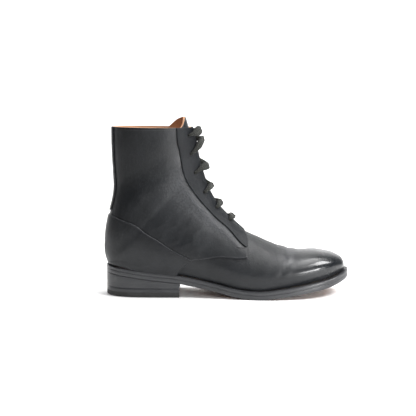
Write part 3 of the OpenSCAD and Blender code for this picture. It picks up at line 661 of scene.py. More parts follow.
def ribbon(name, centre, across, normal, half_width, half_thickness):
    """A flat woven lace swept along rings, with rounded edges, a hollow middle and a map of its length."""
    count, sides = len(centre), len(SECTION)
    run = distances(centre)
    ring = []
    for c, s in SECTION:
        x = math.copysign(abs(c) ** 0.55, c)
        y = math.copysign(abs(s) ** 0.75, s)
        dip = 1 - 0.22 * math.exp(-(x / 0.28) ** 2)
        rib = 1 + 0.045 * np.sin(2 * math.pi * run / 1.5) * abs(y)
        ring.append(centre + across * (x * half_width)[:, None]
                    + normal * (y * dip * half_thickness * rib)[:, None])
    verts = np.stack(ring, 1).reshape(-1, 3)
    obj = new_mesh(name, to_frame(verts), walls(count, sides) + caps(count, sides))
    across_share = np.array([0.5 + 0.5 * c for c, s in SECTION])
    layer = obj.data.uv_layers.new(name="lace")
    uv = np.zeros((len(obj.data.loops), 2), np.float32)
    index = np.zeros(len(obj.data.loops), np.int32)
    obj.data.loops.foreach_get("vertex_index", index)
    uv[:, 0] = across_share[index % sides] * LACE_WIDTH
    uv[:, 1] = run[index // sides]
    layer.data.foreach_set("uv", uv.ravel())
    return obj


def resample(points, step):
    """A smooth curve through the points, at even steps in mm."""
    points = np.asarray(points, float)
    dense = spline(points, np.linspace(0, len(points) - 1, len(points) * 40))
    run = distances(dense[:, :3])
    return at_distance(np.linspace(0, run[-1], max(4, int(run[-1] / step))), run, dense)


def frame_along(centre, out):
    """Width and thickness directions of a flat cord, from its route and the way its face looks."""
    tangent = unit(np.gradient(centre, axis=0))
    across = unit(np.cross(out, tangent))
    return across, unit(np.cross(tangent, across))


def make_lace_ends(lace_mat, aglet_mat):
    for name, side in (("lateral", 1), ("medial", -1)):
        route = np.array(END_ROUTE, float) * [1, side, 1]
        centre = resample(route, 1.0)
        out = np.stack([np.clip((centre[:, 0] - 67) / 33, 0, 1), np.full(len(centre), -side),
                        np.zeros(len(centre))], -1)
        across, normal = frame_along(centre, out)
        pinch = smoothstep(np.arange(len(centre)), len(centre) - 7, len(centre) - 1)
        half_width = mixed(LACE_WIDTH / 2, AGLET_RADIUS * 0.8, pinch)
        half_thickness = mixed(LACE_THICKNESS / 2, AGLET_RADIUS * 0.8, pinch)
        cord = ribbon("lace_free_end_" + name, centre, across, normal, half_width, half_thickness)
        ride(cord, "lace_end_" + name, [lace_mat])
        tip = route[-1]
        aglet = make_aglet("aglet_" + name, tip)
        ride(aglet, "aglets", [aglet_mat])


def make_aglet(name, tip):
    """A crimped plastic tube with a rolled mouth and a slightly pointed end."""
    profile = [(0.72, 0.0), (0.98, 0.0), (1.0, 0.02), (1.0, 0.10), (0.93, 0.13), (0.93, 0.17), (1.0, 0.2),
               (1.0, 0.45), (0.94, 0.48), (0.94, 0.52), (1.0, 0.55), (0.98, 0.85), (0.9, 0.95), (0.7, 0.985),
               (0.35, 1.0)]
    sides = 24
    verts = [tip + np.array([c * r * AGLET_RADIUS, d * r * AGLET_RADIUS, -s * AGLET_LENGTH])
             for r, s in profile for c, d in circle(sides)]
    faces = [(a, d, c, b) for a, b, c, d in walls(len(profile), sides)]
    faces.append(tuple(range(sides)))
    faces.append(tuple(range(len(verts) - 1, len(verts) - sides - 1, -1)))
    return new_mesh(name, to_frame(verts), faces)


# ---------------------------------------------------------------- the lace on the boot

FLANGE_BOTTOM = LINING_OUT - GAP - LINING - 0.45 - 0.4
LACE_HOLE = 0.62 * HOLE_RADIUS
OUTSIDE_LIFT = OVERLAY_OUT + LACE_THICKNESS / 2 + 0.45
INSIDE_LIFT = FLANGE_BOTTOM - LACE_THICKNESS / 2 - 0.15
TUCK = [24.3, 0.4]
LOWEST = len(EYES) - 1


def lace_place(t, u, lift, wide, thick=0.5):
    return [t, u, lift, wide * LACE_WIDTH / 2, LACE_THICKNESS * thick]


# how far up from its hole each strand crests over the front, how far out, and how wide it spreads there
CRESTS = [(0.35, 6.8, 1.6), (1.9, 6.5, 1.35), (-0.6, 6.2, 1.35), (-0.15, 5.4, 1.1),
          (-0.1, 5.6, 1.25), (-0.15, 5.0, 1.2)]


def strand(e, g, crest, over):
    """Out of hole e, over the front in a rounded crest, and under the other facing towards hole g."""
    up, out, wide = crest
    step = 0.9 if over else -1.5
    return [
        [e[0], e[1], INSIDE_LIFT, LACE_HOLE, 0.9],
        [e[0], e[1], -1.2, LACE_HOLE, 1.1],
        [e[0], e[1], OVERLAY_OUT + 0.7, LACE_HOLE * 1.15, 1.2],
        lace_place(e[0] + 0.15 * up, mixed(e[1], 0.5, 0.24), OUTSIDE_LIFT + 1.1, 0.8, 0.95),
        lace_place(e[0] + 0.45 * up, mixed(e[1], 0.5, 0.5), mixed(OUTSIDE_LIFT, out, 0.45) + 0.5, wide, 0.95),
        lace_place(e[0] + 0.85 * up, mixed(e[1], 0.5, 0.78), out + 0.3 * step, 0.92 * wide, 1.0),
        lace_place(e[0] + up, 0.5, out + step, 0.66 * wide, 1.0),
        lace_place(mixed(e[0] + up, g[0], 0.12), mixed(0.5, g[1], 0.24), out - 3.2 + step, 0.62 * wide, 0.9),
        lace_place(mixed(e[0] + up, g[0], 0.35), mixed(0.5, g[1], 0.46), -2.4, 1, 0.6),
        lace_place(mixed(e[0], g[0], 0.85), mixed(0.5, g[1], 0.76), INSIDE_LIFT, 0.85)]


def hole(k, inner):
    return [EYES[k][0], 1 - EYES[k][1] if inner else EYES[k][1]]


def lace_half(inner):
    """From the bar under the lowest holes up to the tucked end."""
    rows = [lace_place(EYES[LOWEST][0], mixed(0.5, hole(LOWEST, inner)[1], f * 0.8), INSIDE_LIFT, 1)
            for f in (0.5, 1)]
    for k in range(LOWEST, 0, -1):
        same = (LOWEST - k) % 2 == 0
        rows += strand(hole(k, inner == same), hole(k - 1, inner != same), CRESTS[k], inner)
    first = inner == (LOWEST % 2 == 0)
    end = [TUCK[0], TUCK[1] if first else 1 - TUCK[1]]
    rows += strand(hole(0, first), end, CRESTS[0], inner)
    rows.append(lace_place(*end, INSIDE_LIFT, 1))
    return rows


def make_lace(lace_mat):
    middle = [lace_place(EYES[LOWEST][0], 0.5, INSIDE_LIFT, 1)]
    rows = np.array(lace_half(False)[::-1] + middle + lace_half(True), float)
    centre = lifted(rows[:, 0], rows[:, 1], rows[:, 2])
    up = surface(np.minimum(rows[:, 0] + 0.1, LAST_T), rows[:, 1]) - surface(rows[:, 0] - 0.1, rows[:, 1])
    data = resample(np.concatenate([centre, unit(up), rows[:, 3:5], rows[:, 2:3]], 1), 0.75)
    window = np.hanning(11)
    window = window / window.sum()
    soft = np.stack([np.convolve(np.pad(column, 5, "edge"), window, "valid") for column in data.T], 1)
    data = mixed(data, soft, smoothstep(soft[:, 8:9], OVERLAY_OUT, OVERLAY_OUT + 2))
    centre, up = data[:, :3], unit(data[:, 3:6])
    tangent = unit(np.gradient(centre, axis=0))
    across = unit(up - tangent * (up * tangent).sum(-1, keepdims=True))
    normal = unit(np.cross(tangent, across))
    lace = ribbon("woven_lace", centre, across, normal, data[:, 6], data[:, 7])
    ride(lace, "lace", [lace_mat])


# ---------------------------------------------------------------- the upper

# distances of the stitched lines from their seams
COVER_SEAMS = (1.5, 3.1)
QUARTER_SEAMS = (1.6, 3.2)
FACING_INSET = 1.4
FACING_FRONT_INSET = 2.2


def hole_cut(obj, inner, radius):
    cut(obj, lace_hole_pegs(radius, inner))


def make_vamp(mats):
    length, girth, cell = 190, 210, 1.8
    s = shares(length, cell, low_edge=False)
    u = shares(girth, cell)
    rear = np.interp(np.minimum(u, 1 - u), [0, 0.08, 0.15, 0.22, 0.27, 0.33, 0.4, 0.46, 0.5],
                     [11.2, 11, 10.3, 9.1, 8.6, 8.4, 8.5, 8.7, 8.75])
    t = s[:, None] * rear[None, :]
    places = np.stack([t, np.broadcast_to(u[None, :], t.shape)], -1)
    drop = edge_drop(s, length, low_edge=False)[:, None]
    obj, t, u = shell("vamp_leather", places, VAMP_OUT, VAMP_OUT - LEATHER, drop, face_mats=(1, 0))
    side = np.minimum(u, 1 - u)
    mark(obj, polish=1 - smoothstep(t, 3.8, 5.3),
         wear_and_highlight=0.35 * bell((t - 5.45) / 0.35) * smoothstep(side, 0.12, 0.3),
         grain=smoothstep(t, 5.0, 6.2) * smoothstep(side, 0.06, 0.2))
    ride(obj, "vamp", mats)


ROOM_EDGE = [(0, 21), (0.1, 21), (0.2, 19), (0.25, 15), (0.3, 12), (0.35, 10.8), (0.5, 10.8)]
LINING_NEAR = LINING_OUT - GAP
LINING_FAR = VAMP_OUT - LEATHER - GAP


def lining_rear(u):
    return np.interp(np.minimum(u, 1 - u), [0, 0.2, 0.35, 0.42, 0.5], [9.3, 9.0, 8.5, 8.1, 8.0])


def make_quarter(inner, mats):
    name = "medial" if inner else "lateral"
    height, width = 125, 115
    s, r = shares(height), shares(width, low_edge=False)
    places = patch(QUARTER_LOW, TOP_EDGE, BACK_EDGE, FRONT_EDGE, s, r)
    drop = rounded(s, height, r, width, r_edges=(False, True))
    lines = [seam(FACING_SEAM, 1.2, 0, inner)[0], seam(QUARTER_LOW, 2.0, 0, inner, start=0.55)[0],
             seam(BAR_TACK, 0.0, 0, inner)[0]]
    if inner:
        places = inner_side(places)
    obj, t, u = shell("quarter_leather_" + name, places, QUARTER_OUT, LINING_OUT, drop, lines, (1, 1))
    edge = s[:, None] * height + 0 * t
    side = np.minimum(u, 1 - u)
    instep = bell((side - 0.325) / 0.045) * between(t, 7.6, 8.6, 15, 20)
    # the lower edge is lightened as rubbed wear with painted highlight; the band behind the facing seam gets a
    # painted highlight (lighter colour) besides its pebble grain
    mark(obj, polish=0, wear_and_highlight=0.5 * bell(edge / 0.7) + 0.5 * instep, grain=instep + 0.25)
    hole_cut(obj, inner, BARREL_RADIUS + GAP)
    ride(obj, "quarter_" + name, mats)


def make_quarter_lining(inner, mats):
    name = "medial" if inner else "lateral"
    height = 190
    u_row = mixed(0.012, 0.436, np.linspace(0, 1, 60))
    f = shares(height, 2.4)
    t = mixed(lining_rear(u_row)[None, :] + 0.1, TOP_T, f[:, None])
    u = np.broadcast_to(u_row[None, :], t.shape)
    room = np.interp(u, *zip(*ROOM_EDGE))
    out = mixed(LINING_FAR, LINING_NEAR, smoothstep(t, room - 2.5, room))
    places = np.stack([t, u], -1)
    if inner:
        places = inner_side(places)
    drop = edge_drop(f, height)[:, None] * 0.6
    lining = shell("lining_leather_" + name, places, out, out - LINING, drop)[0]
    hole_cut(lining, inner, BARREL_RADIUS + 1.2 + GAP)
    ride(lining, "quarter_lining_" + name, mats)


def make_vamp_lining(mats):
    u = mixed(0.012, 0.988, np.linspace(0, 1, 70))
    s = np.linspace(0, 1, 60)
    t = s[:, None] * lining_rear(u)[None, :]
    out = LINING_FAR - (BOARD + GAP) * (1 - smoothstep(t, 3.6, 5))
    places = np.stack([t, np.broadcast_to(u[None, :], t.shape)], -1)
    obj = shell("vamp_lining_leather", places, out, out - LINING)[0]
    ride(obj, "vamp_lining", mats)


def make_stiffeners(mats):
    t, u = np.meshgrid(np.linspace(0, 3.4, 24), np.linspace(0.02, 0.98, 60), indexing="ij")
    puff = shell("toe_puff_board", np.stack([t, u], -1), LINING_FAR, LINING_FAR - BOARD)[0]
    ride(puff, "toe_puff", mats)
    rows = both_sides(patch(STIFF_FOOT, STIFF_SEAM, STIFF_BACK, STIFF_FRONT,
                            np.linspace(0, 1, 26), np.linspace(0, 1, 40)))
    board = shell("heel_stiffener_board", rows, QUARTER_OUT - GAP, LINING_OUT - GAP)[0]
    ride(board, "heel_stiffener", mats)


def make_counter_cover(mats):
    height, width = 75, 95
    s = shares(height, low_edge=False)
    r = shares(width, low_edge=False)
    rows = both_sides(patch(COVER_FOOT, COVER_SEAM, COVER_BACK, COVER_LEG, s, r))
    across = np.concatenate([r[::-1], r[1:]])
    drop = rounded(s, height, across, width, (False, True), (False, True))
    lines = [seam(COVER_SEAM, -d, 0, inner)[0] for d in COVER_SEAMS for inner in (False, True)]
    obj, t, _ = shell("counter_cover_leather", rows, OVERLAY_OUT, OVERLAY_IN, drop, lines, (1, 0))
    # the top edge along the cover seam is lightened: rubbed wear and a painted highlight line
    mark(obj, polish=0.25, wear_and_highlight=0.8 * bell((1 - s) * height / 0.8)[:, None] + 0 * t, grain=0.1)
    ride(obj, "counter_cover", mats)


STRIP_HALF = 0.05


def make_back_strip(mats):
    height, width = 108, 22
    f, across = shares(height), shares(width)
    t = np.broadcast_to(mixed(19.45, TOP_T, f)[:, None], (len(f), len(across)))
    u = np.broadcast_to(mixed(-STRIP_HALF, STRIP_HALF, across)[None, :], t.shape)
    u = np.where(u < 0, 1 + u, u)
    drop = rounded(f, height, across, width)
    obj = shell("back_strip_leather", np.stack([t, u], -1), OVERLAY_OUT, OVERLAY_IN, drop, (), (1, 0))[0]
    # the edges are lightened: rubbed wear and painted edge highlight
    mark(obj, polish=0, wear_and_highlight=0.5 * drop / ROUND, grain=0.2)
    ride(obj, "back_strip", mats)


def make_facing(inner, mats):
    name = "medial" if inner else "lateral"
    height, width = 150, 19
    f, across = shares(height, 1.3), shares(width, 1.2)
    a, b = along(np.array(FACING_SEAM), f), along(np.array(FACING_FRONT), f)
    places = mixed(a[:, None], b[:, None], across[None, :, None])
    if inner:
        places = inner_side(places)
    drop = rounded(f, height, across, width)
    lines = [seam(FACING_SEAM, -FACING_INSET, 0, inner)[0],
             seam(FACING_FRONT, FACING_FRONT_INSET, 0, inner)[0]]
    obj = shell("facing_leather_" + name, places, OVERLAY_OUT, OVERLAY_IN, drop, lines, (1, 0))[0]
    # the edges are lightened: rubbed wear and painted edge highlight
    mark(obj, polish=0, wear_and_highlight=0.4 * drop / ROUND, grain=0.8)
    hole_cut(obj, inner, HOLE_RADIUS)
    ride(obj, "facing_" + name, mats)


def make_tongue(mats, lining_mats):
    height, width = 190, 66
    f, across = shares(height, 2.2), shares(width, 2.0)
    w = 2 * across - 1
    top = 26.6 - 1.5 * np.abs(w) ** 3 - 1.3 * smoothstep(-w, 0.05, 0.7)
    t = mixed(8.45, top[None, :], f[:, None])
    half = np.interp(t, [8.3, 10, 14, 20, 24, 27], [0.09, 0.115, 0.15, 0.175, 0.185, 0.17])
    u = 0.5 + w[None, :] * half
    drop = rounded(f, height, across, width)
    places = np.stack([t, u], -1)
    back = TONGUE_OUT - LEATHER
    obj = shell("tongue_leather", places, TONGUE_OUT, back, drop, (), (1, 1))[0]
    # the edges are lightened: rubbed wear and painted edge highlight
    mark(obj, polish=0, wear_and_highlight=0.5 * drop / ROUND, grain=0.6)
    finish_tongue(obj, "tongue", mats)
    lining = shell("tongue_lining_leather", places, back - 0.02, back - 1, drop * 0.5)[0]
    finish_tongue(lining, "tongue_lining", lining_mats)


def finish_tongue(obj, node, mats):
    dress(obj, node, mats)
    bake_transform(obj)


def thread(name, lines, mat, slot="upper_leather", **sizes):
    ride(stitches(name, lines, **sizes), None, [mat])


def make_upper_stitches(mat):
    overlay, under = OVERLAY_OUT - 0.2, QUARTER_OUT - 0.2
    for name, inner in (("lateral", False), ("medial", True)):
        cover = [seam(COVER_SEAM, -d, overlay, inner) for d in COVER_SEAMS]
        cover.append(seam(COVER_LEG, 1.5, OVERLAY_OUT - 0.1, inner, start=0.1))
        facing = [seam(FACING_SEAM, -FACING_INSET, overlay, inner),
                  seam(FACING_FRONT, FACING_FRONT_INSET, overlay, inner)]
        quarter = [seam(QUARTER_LOW, d, under, inner, start=0.6, end=0.99) for d in QUARTER_SEAMS]
        quarter.append(seam(FRONT_EDGE, QUARTER_SEAMS[0], QUARTER_OUT - 0.1, inner, end=0.13))
        quarter.append(seam(TOP_EDGE, -2.8, QUARTER_OUT, inner, start=0.11, end=0.79))
        bar = [seam(BAR_TACK, 0.0, QUARTER_OUT + 0.1, inner)]
        thread("seam_cover_" + name, cover, mat)
        thread("seam_facing_" + name, facing, mat)
        thread("seam_quarter_" + name, quarter, mat)
        thread("bar_tack_" + name, bar, mat, pitch=0.8, length=0.7, radius=0.5)
    strip = []
    inset = STRIP_HALF - 0.006
    for place_u in (1 - inset, inset):
        t = np.linspace(19.6, TOP_T - 0.05, 300)
        u = np.full(len(t), place_u)
        strip.append((lifted(t, u, OVERLAY_OUT - 0.1), outward(t, u)))
    thread("seam_back_strip", strip, mat)


# ---------------------------------------------------------------- the sole

# edge of the outsole from the toe tip over the outer side to the heel; points pair off across it
SOLE_POINTS = [
    [303, 6], [300.5, -8], [294, -19], [282, -31], [264, -41.5], [240, -49], [214, -52], [190, -51.3],
    [165, -47.5], [139, -41.5], [113, -37], [88, -35.2], [62, -34.6], [37, -33], [18, -26.5], [7, -15],
    [3, 0], [7, 15], [18, 26.5], [37, 32.5], [62, 33.6], [88, 31.5], [113, 28.6], [139, 30], [165, 36],
    [190, 45.5], [214, 52], [240, 51], [264, 46], [282, 38.5], [294, 29], [300.5, 19]]
EDGE_STEPS = 9
HEEL_DEPTH = 90.0
BREAST_RADIUS = 160.0
CAP_COLUMNS = 14
SOLE_THICKNESS = WELT + OUTSOLE
SOLE_SHARP = math.radians(30)


def sole_outline():
    points = np.array(SOLE_POINTS, float)
    padded = np.concatenate([points[-1:], points, points[:2]])
    return spline(padded, 1 + np.arange(len(points) * EDGE_STEPS) / EDGE_STEPS)


def inset_ring(ring, distance):
    v = np.roll(ring, -1, 0) - np.roll(ring, 1, 0)
    n = np.stack([-v[:, 1], v[:, 0]], -1) / np.linalg.norm(v, axis=1, keepdims=True)
    return ring - distance * n


def heel_ring():
    """The outline behind the breast, closed by the breast's shallow arc from the inner to the outer side."""
    outline = sole_outline()
    half = len(outline) // 2
    centre = HEEL_DEPTH + BREAST_RADIUS

    def breast(y):
        return centre - np.sqrt(BREAST_RADIUS ** 2 - y ** 2)

    behind = [i for i in range(len(outline)) if outline[i, 0] < breast(outline[i, 1]) - 1.0]
    count = min(half - behind[0], behind[-1] - half)
    sides = outline[half - count:half + count + 1]
    y0, y1 = sides[0, 1], sides[-1, 1]
    ends = [np.array([breast(y0), y0]), np.array([breast(y1), y1])]
    sides = np.concatenate([[ends[0]], sides, [ends[1]]])
    y = np.linspace(y1, y0, CAP_COLUMNS + 2)[1:-1]
    return np.concatenate([sides, np.stack([breast(y), y], -1)])


def add_cap(verts, faces, start, ring, height, arc=0):
    """Fills a ring whose points pair off across the width, following a height."""
    n = len(ring)
    m = n - arc
    if arc:
        rows = [[start] + [start + n - 1 - k for k in range(arc)] + [start + m - 1]]
        pairs = [(i, m - 1 - i) for i in range(1, m // 2)]
        end = start + m // 2
    else:
        rows = [[start]]
        pairs = [(i, n - i) for i in range(1, n // 2)]
        end = start + n // 2
    share = np.arange(1, CAP_COLUMNS + 1)[:, None] / (CAP_COLUMNS + 1)
    for i, j in pairs:
        line = mixed(ring[i], ring[j], share)
        first = len(verts)
        verts += [(x, y, z) for (x, y), z in zip(line, height(line[:, 0]))]
        rows.append([start + i] + list(range(first, first + CAP_COLUMNS)) + [start + j])
    rows.append([end])
    for a, b in zip(rows[:-1], rows[1:]):
        if len(a) == 1:
            faces += [(a[0], b[k], b[k + 1]) for k in range(len(b) - 1)]
        elif len(b) == 1:
            faces += [(a[k], b[0], a[k + 1]) for k in range(len(a) - 1)]
        else:
            faces += [(a[k], b[k], b[k + 1], a[k + 1]) for k in range(len(a) - 1)]


def loft(name, ring, profile, arc=0, closed=False, cap_mats=(0, 0)):
    """Rings inset by each profile entry's distance, at its height; its ends are capped if it is open."""
    verts, faces = [], []
    n = len(ring)
    for inset, height in profile:
        edge = inset_ring(ring, inset)
        verts += [(x, y, z) for (x, y), z in zip(edge, height(edge[:, 0]))]
    count = len(profile)
    for i in range(count if closed else count - 1):
        a, b = i * n, ((i + 1) % count) * n
        faces += [(a + k, a + (k + 1) % n, b + (k + 1) % n, b + k) for k in range(n)]
    wall = len(faces)
    middle = wall
    if not closed:
        add_cap(verts, faces, 0, inset_ring(ring, profile[0][0]), profile[0][1], arc)
        middle = len(faces)
        add_cap(verts, faces, (count - 1) * n, inset_ring(ring, profile[-1][0]), profile[-1][1], arc)
    obj = new_mesh(name, to_frame(verts), faces)
    index = np.zeros(len(faces), np.int32)
    index[wall:middle] = cap_mats[0]
    index[middle:] = cap_mats[1]
    obj.data.polygons.foreach_set("material_index", index)
    outward_faces(obj)
    obj.data.set_sharp_from_angle(angle=SOLE_SHARP)
    return obj


def outward_faces(obj):
    shape = bmesh.new()
    shape.from_mesh(obj.data)
    bmesh.ops.recalc_face_normals(shape, faces=shape.faces)
    shape.to_mesh(obj.data)
    shape.free()
    obj.data.shade_smooth()


def below_bed(depth):
    return lambda x: bed(x) - depth


def level(z):
    return lambda x: np.full(np.shape(x), float(z))


# inset from the sole's edge and depth below the bed, round each piece's own section
WELT_PROFILE = [(15, 0.05), (9, 0.05), (3.6, 0.0), (2.9, 0.1), (2.2, 0.1), (1.3, 0.0), (0.5, 0.3),
                (0.1, 0.85), (0.0, 1.5), (0.0, 3.9), (0.06, 4.25), (0.25, 4.42), (15, 4.45)]
OUTSOLE_PROFILE = [(0.25, 4.5), (0.06, 4.68), (0.0, 5.0), (0.0, 8.7), (0.2, 9.35), (0.75, 9.85), (1.6, 10.0)]
INSOLE_PROFILE = [(10.9, -0.2), (10.5, -0.5), (10.5, -2.3), (11, -2.7)]
SOCK_PROFILE = [(11.5, -2.8), (11.5, -3.5), (11.9, -3.8)]
# inset and height of the heel's top piece, below its upper edge
TREAD_PROFILE = [(0.03, 1.2), (0.4, 0.45), (0.9, 0.1), (1.6, 0)]
JOINT_LINE = 0.02


def bed_loft(name, outline, profile, **options):
    return loft(name, outline, [(inset, below_bed(depth)) for inset, depth in profile], **options)


def heel_loft(name, ring, profile):
    return loft(name, ring, profile, arc=CAP_COLUMNS)


def make_sole(mats):
    outline = sole_outline()
    edge, board, lining = [mats["edge"]], [mats["board"]], [mats["lining"]]
    ride(bed_loft("welt_leather", outline, WELT_PROFILE, closed=True), "welt", edge)
    ride(bed_loft("outsole_leather", outline, OUTSOLE_PROFILE, cap_mats=(0, 1)), "outsole",
         edge + [mats["tread"]])
    ride(bed_loft("insole_board", outline, INSOLE_PROFILE), "insole", board)
    ride(bed_loft("sock_liner_leather", outline, SOCK_PROFILE), "sock_liner", lining)
    make_heel(heel_ring(), mats)
    make_welt_seam(outline, mats["thread"])


def make_heel(ring, mats):
    low, mid, top = (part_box(n)[1][2] / MM for n in ("top_piece", "heel_lift_lower", "heel_lift_upper"))
    line = JOINT_LINE
    wedge = heel_loft("heel_wedge_leather", ring, [
        (line, below_bed(SOLE_THICKNESS)), (0, below_bed(SOLE_THICKNESS + 0.15)),
        (0, level(top + 0.15)), (line, level(top))])
    ride(wedge, "heel_wedge", [mats["edge"]])
    for name, base, roof, inset in (("upper", mid, top, 0.0), ("lower", low, mid, 0.01)):
        lift = heel_loft("heel_lift_leather_" + name, ring, [
            (inset + line, level(roof)), (inset, level(roof - line)),
            (inset, level(base + line)), (inset + line, level(base))])
        if name == "lower":
            cut(lift, nail_cutter())
        ride(lift, "heel_lift_" + name, [mats["edge"]])
    tread = heel_loft("heel_top_piece_rubber", ring, [(0.06, level(low)), (0.03, level(low - line))]
                      + [(inset, level(z)) for inset, z in TREAD_PROFILE])
    cut(tread, nail_cutter())
    ride(tread, "top_piece", [mats["rubber"]])


def make_welt_seam(outline, mat):
    """Stitches on the welt, from the waist round the toe and back."""
    edge = inset_ring(outline, 2.55)
    keep = [i for i in range(len(edge)) if edge[i, 0] > 58]
    first = next(k for k in range(1, len(keep)) if keep[k] - keep[k - 1] > 1)
    order = keep[first:] + keep[:first]
    points = np.stack([edge[order, 0], edge[order, 1], bed(edge[order, 0]) - 0.1], -1)
    upward = np.tile([0, 0, 1.0], (len(points), 1))
    thread("seam_welt", [(points, upward)], mat, "sole_edge", pitch=3.1, length=2.6, radius=0.36)


NAIL_ROWS = [(0.22, 16), (0.42, 24), (0.67, 25), (0.89, 24)]
NAIL_RADIUS = 1.05


def nail_cutter():
    """Pegs for the brass nails, up through the top piece and the lower lift."""
    places = [(0.16 * HEEL_DEPTH, 0)] + [(x * HEEL_DEPTH, side * y) for x, y in NAIL_ROWS for side in (-1, 1)]
    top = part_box("heel_nails")[1][2] / MM + 0.4
    return pegs("nail_cutter", [
        [[(x + NAIL_RADIUS * c, y + NAIL_RADIUS * d, z) for c, d in circle(20)] for z in (-1, top)]
        for x, y in places])


# ---------------------------------------------------------------- materials

def new_material(name, roughness=0.5, metallic=0.0, specular=0.5, **sockets):
    mat = bpy.data.materials.new(name)
    mat.use_nodes = True
    shader = mat.node_tree.nodes["Principled BSDF"]
    shader.inputs["Roughness"].default_value = roughness
    shader.inputs["Metallic"].default_value = metallic
    shader.inputs["Specular IOR Level"].default_value = specular
    for socket, value in sockets.items():
        shader.inputs[socket.replace("_", " ")].default_value = value
    return mat, mat.node_tree, shader


def plug(tree, shader, **sockets):
    """Links each value to the shader's socket of that name."""
    for socket, value in sockets.items():
        tree.links.new(value, shader.inputs[socket.replace("_", " ")])


def times(tree, a, b):
    return combine(tree, "MULTIPLY", a, b)


def place(tree, scale=(1, 1, 1)):
    """The piece's own coordinates in metres, stretched by a scale."""
    coord = tree.nodes.new("ShaderNodeTexCoord")
    mapping = tree.nodes.new("ShaderNodeMapping")
    mapping.inputs["Scale"].default_value = scale
    tree.links.new(coord.outputs["Object"], mapping.inputs["Vector"])
    return mapping.outputs["Vector"]


def noise(tree, vector, scale, detail=4.0, rough=0.55):
    node = tree.nodes.new("ShaderNodeTexNoise")
    node.inputs["Scale"].default_value = scale
    node.inputs["Detail"].default_value = detail
    node.inputs["Roughness"].default_value = rough
    tree.links.new(vector, node.inputs["Vector"])
    return node.outputs["Fac"]


def cells(tree, vector, scale):
    node = tree.nodes.new("ShaderNodeTexVoronoi")
    node.feature = "DISTANCE_TO_EDGE"
    node.inputs["Scale"].default_value = scale
    tree.links.new(vector, node.inputs["Vector"])
    return node.outputs["Distance"]


def spread(tree, value, low, high, to_low=0.0, to_high=1.0):
    node = tree.nodes.new("ShaderNodeMapRange")
    node.interpolation_type = "SMOOTHSTEP"
    for name, number in (("From Min", low), ("From Max", high), ("To Min", to_low), ("To Max", to_high)):
        node.inputs[name].default_value = number
    tree.links.new(value, node.inputs["Value"])
    return node.outputs["Result"]


def combine(tree, operation, a, b):
    node = tree.nodes.new("ShaderNodeMath")
    node.operation = operation
    for k, value in enumerate((a, b)):
        if isinstance(value, (int, float)):
            node.inputs[k].default_value = value
        else:
            tree.links.new(value, node.inputs[k])
    return node.outputs[0]


def blend_colours(tree, share, a, b):
    node = tree.nodes.new("ShaderNodeMix")
    node.data_type = "RGBA"
    tree.links.new(share, node.inputs[0])
    for k, value in ((6, a), (7, b)):
        if isinstance(value, tuple):
            node.inputs[k].default_value = (*value, 1)
        else:
            tree.links.new(value, node.inputs[k])
    return node.outputs[2]


def number_of(tree, name):
    node = tree.nodes.new("ShaderNodeAttribute")
    node.attribute_name = name
    return node.outputs["Fac"]


def bump(tree, height, strength, distance, normal=None):
    node = tree.nodes.new("ShaderNodeBump")
    node.inputs["Distance"].default_value = distance
    if isinstance(strength, float):
        node.inputs["Strength"].default_value = strength
    else:
        tree.links.new(strength, node.inputs["Strength"])
    tree.links.new(height, node.inputs["Height"])
    if normal is not None:
        tree.links.new(normal, node.inputs["Normal"])
    return node.outputs["Normal"]


def black_leather(name, coat=0.0, specular=0.32):
    """Dyed calf: fine pores and a soft pebble, a polished finish where it is marked, and a lighter colour on
    marked edges and bands that is partly rubbed wear and partly painted highlight.
    """
    mat, tree, shader = new_material(name, specular=specular, Coat_Roughness=0.1)
    here = place(tree)
    polish, wear_and_highlight, grain = (number_of(tree, n) for n in ("polish", "wear_and_highlight", "grain"))
    if coat:
        tree.links.new(times(tree, polish, coat), shader.inputs["Coat Weight"])
    tone = spread(tree, noise(tree, here, 26, 6), 0.3, 0.72)
    base = blend_colours(tree, tone, (0.004, 0.0048, 0.006), (0.0085, 0.0096, 0.0115))
    fine = spread(tree, noise(tree, here, 900, 3), 0.45, 0.75)
    # lightening towards grey where the mark is high: rubbed wear, and painted highlight on the marked edges
    # and on the band behind the facing seam
    rubbed_and_highlit = times(tree, wear_and_highlight, spread(tree, noise(tree, here, 420, 4), 0.3, 0.62, 0.35, 1.0))
    base = blend_colours(tree, times(tree, rubbed_and_highlit, 0.75), base, (0.07, 0.072, 0.078))
    base = blend_colours(tree, times(tree, fine, 0.22), base, (0.022, 0.024, 0.027))
    plug(tree, shader, Base_Color=base)
    rough = spread(tree, noise(tree, here, 60, 5), 0.3, 0.7, 0.36, 0.47)
    shine = combine(tree, "SUBTRACT", rough, times(tree, polish, 0.12))
    plug(tree, shader, Roughness=combine(tree, "SUBTRACT", shine, times(tree, wear_and_highlight, 0.05)))
    pebble = times(tree, spread(tree, cells(tree, here, 820), 0.0, 0.32), grain)
    pores = noise(tree, here, 2600, 3, 0.6)
    normal = bump(tree, pebble, 0.55, 0.00022)
    normal = bump(tree, spread(tree, noise(tree, here, 240, 3), 0.3, 0.7), 0.16, 0.0004, normal)
    soft = combine(tree, "SUBTRACT", 0.2, times(tree, polish, 0.17))
    tree.links.new(bump(tree, pores, soft, 0.0002, normal), shader.inputs["Normal"])
    return mat


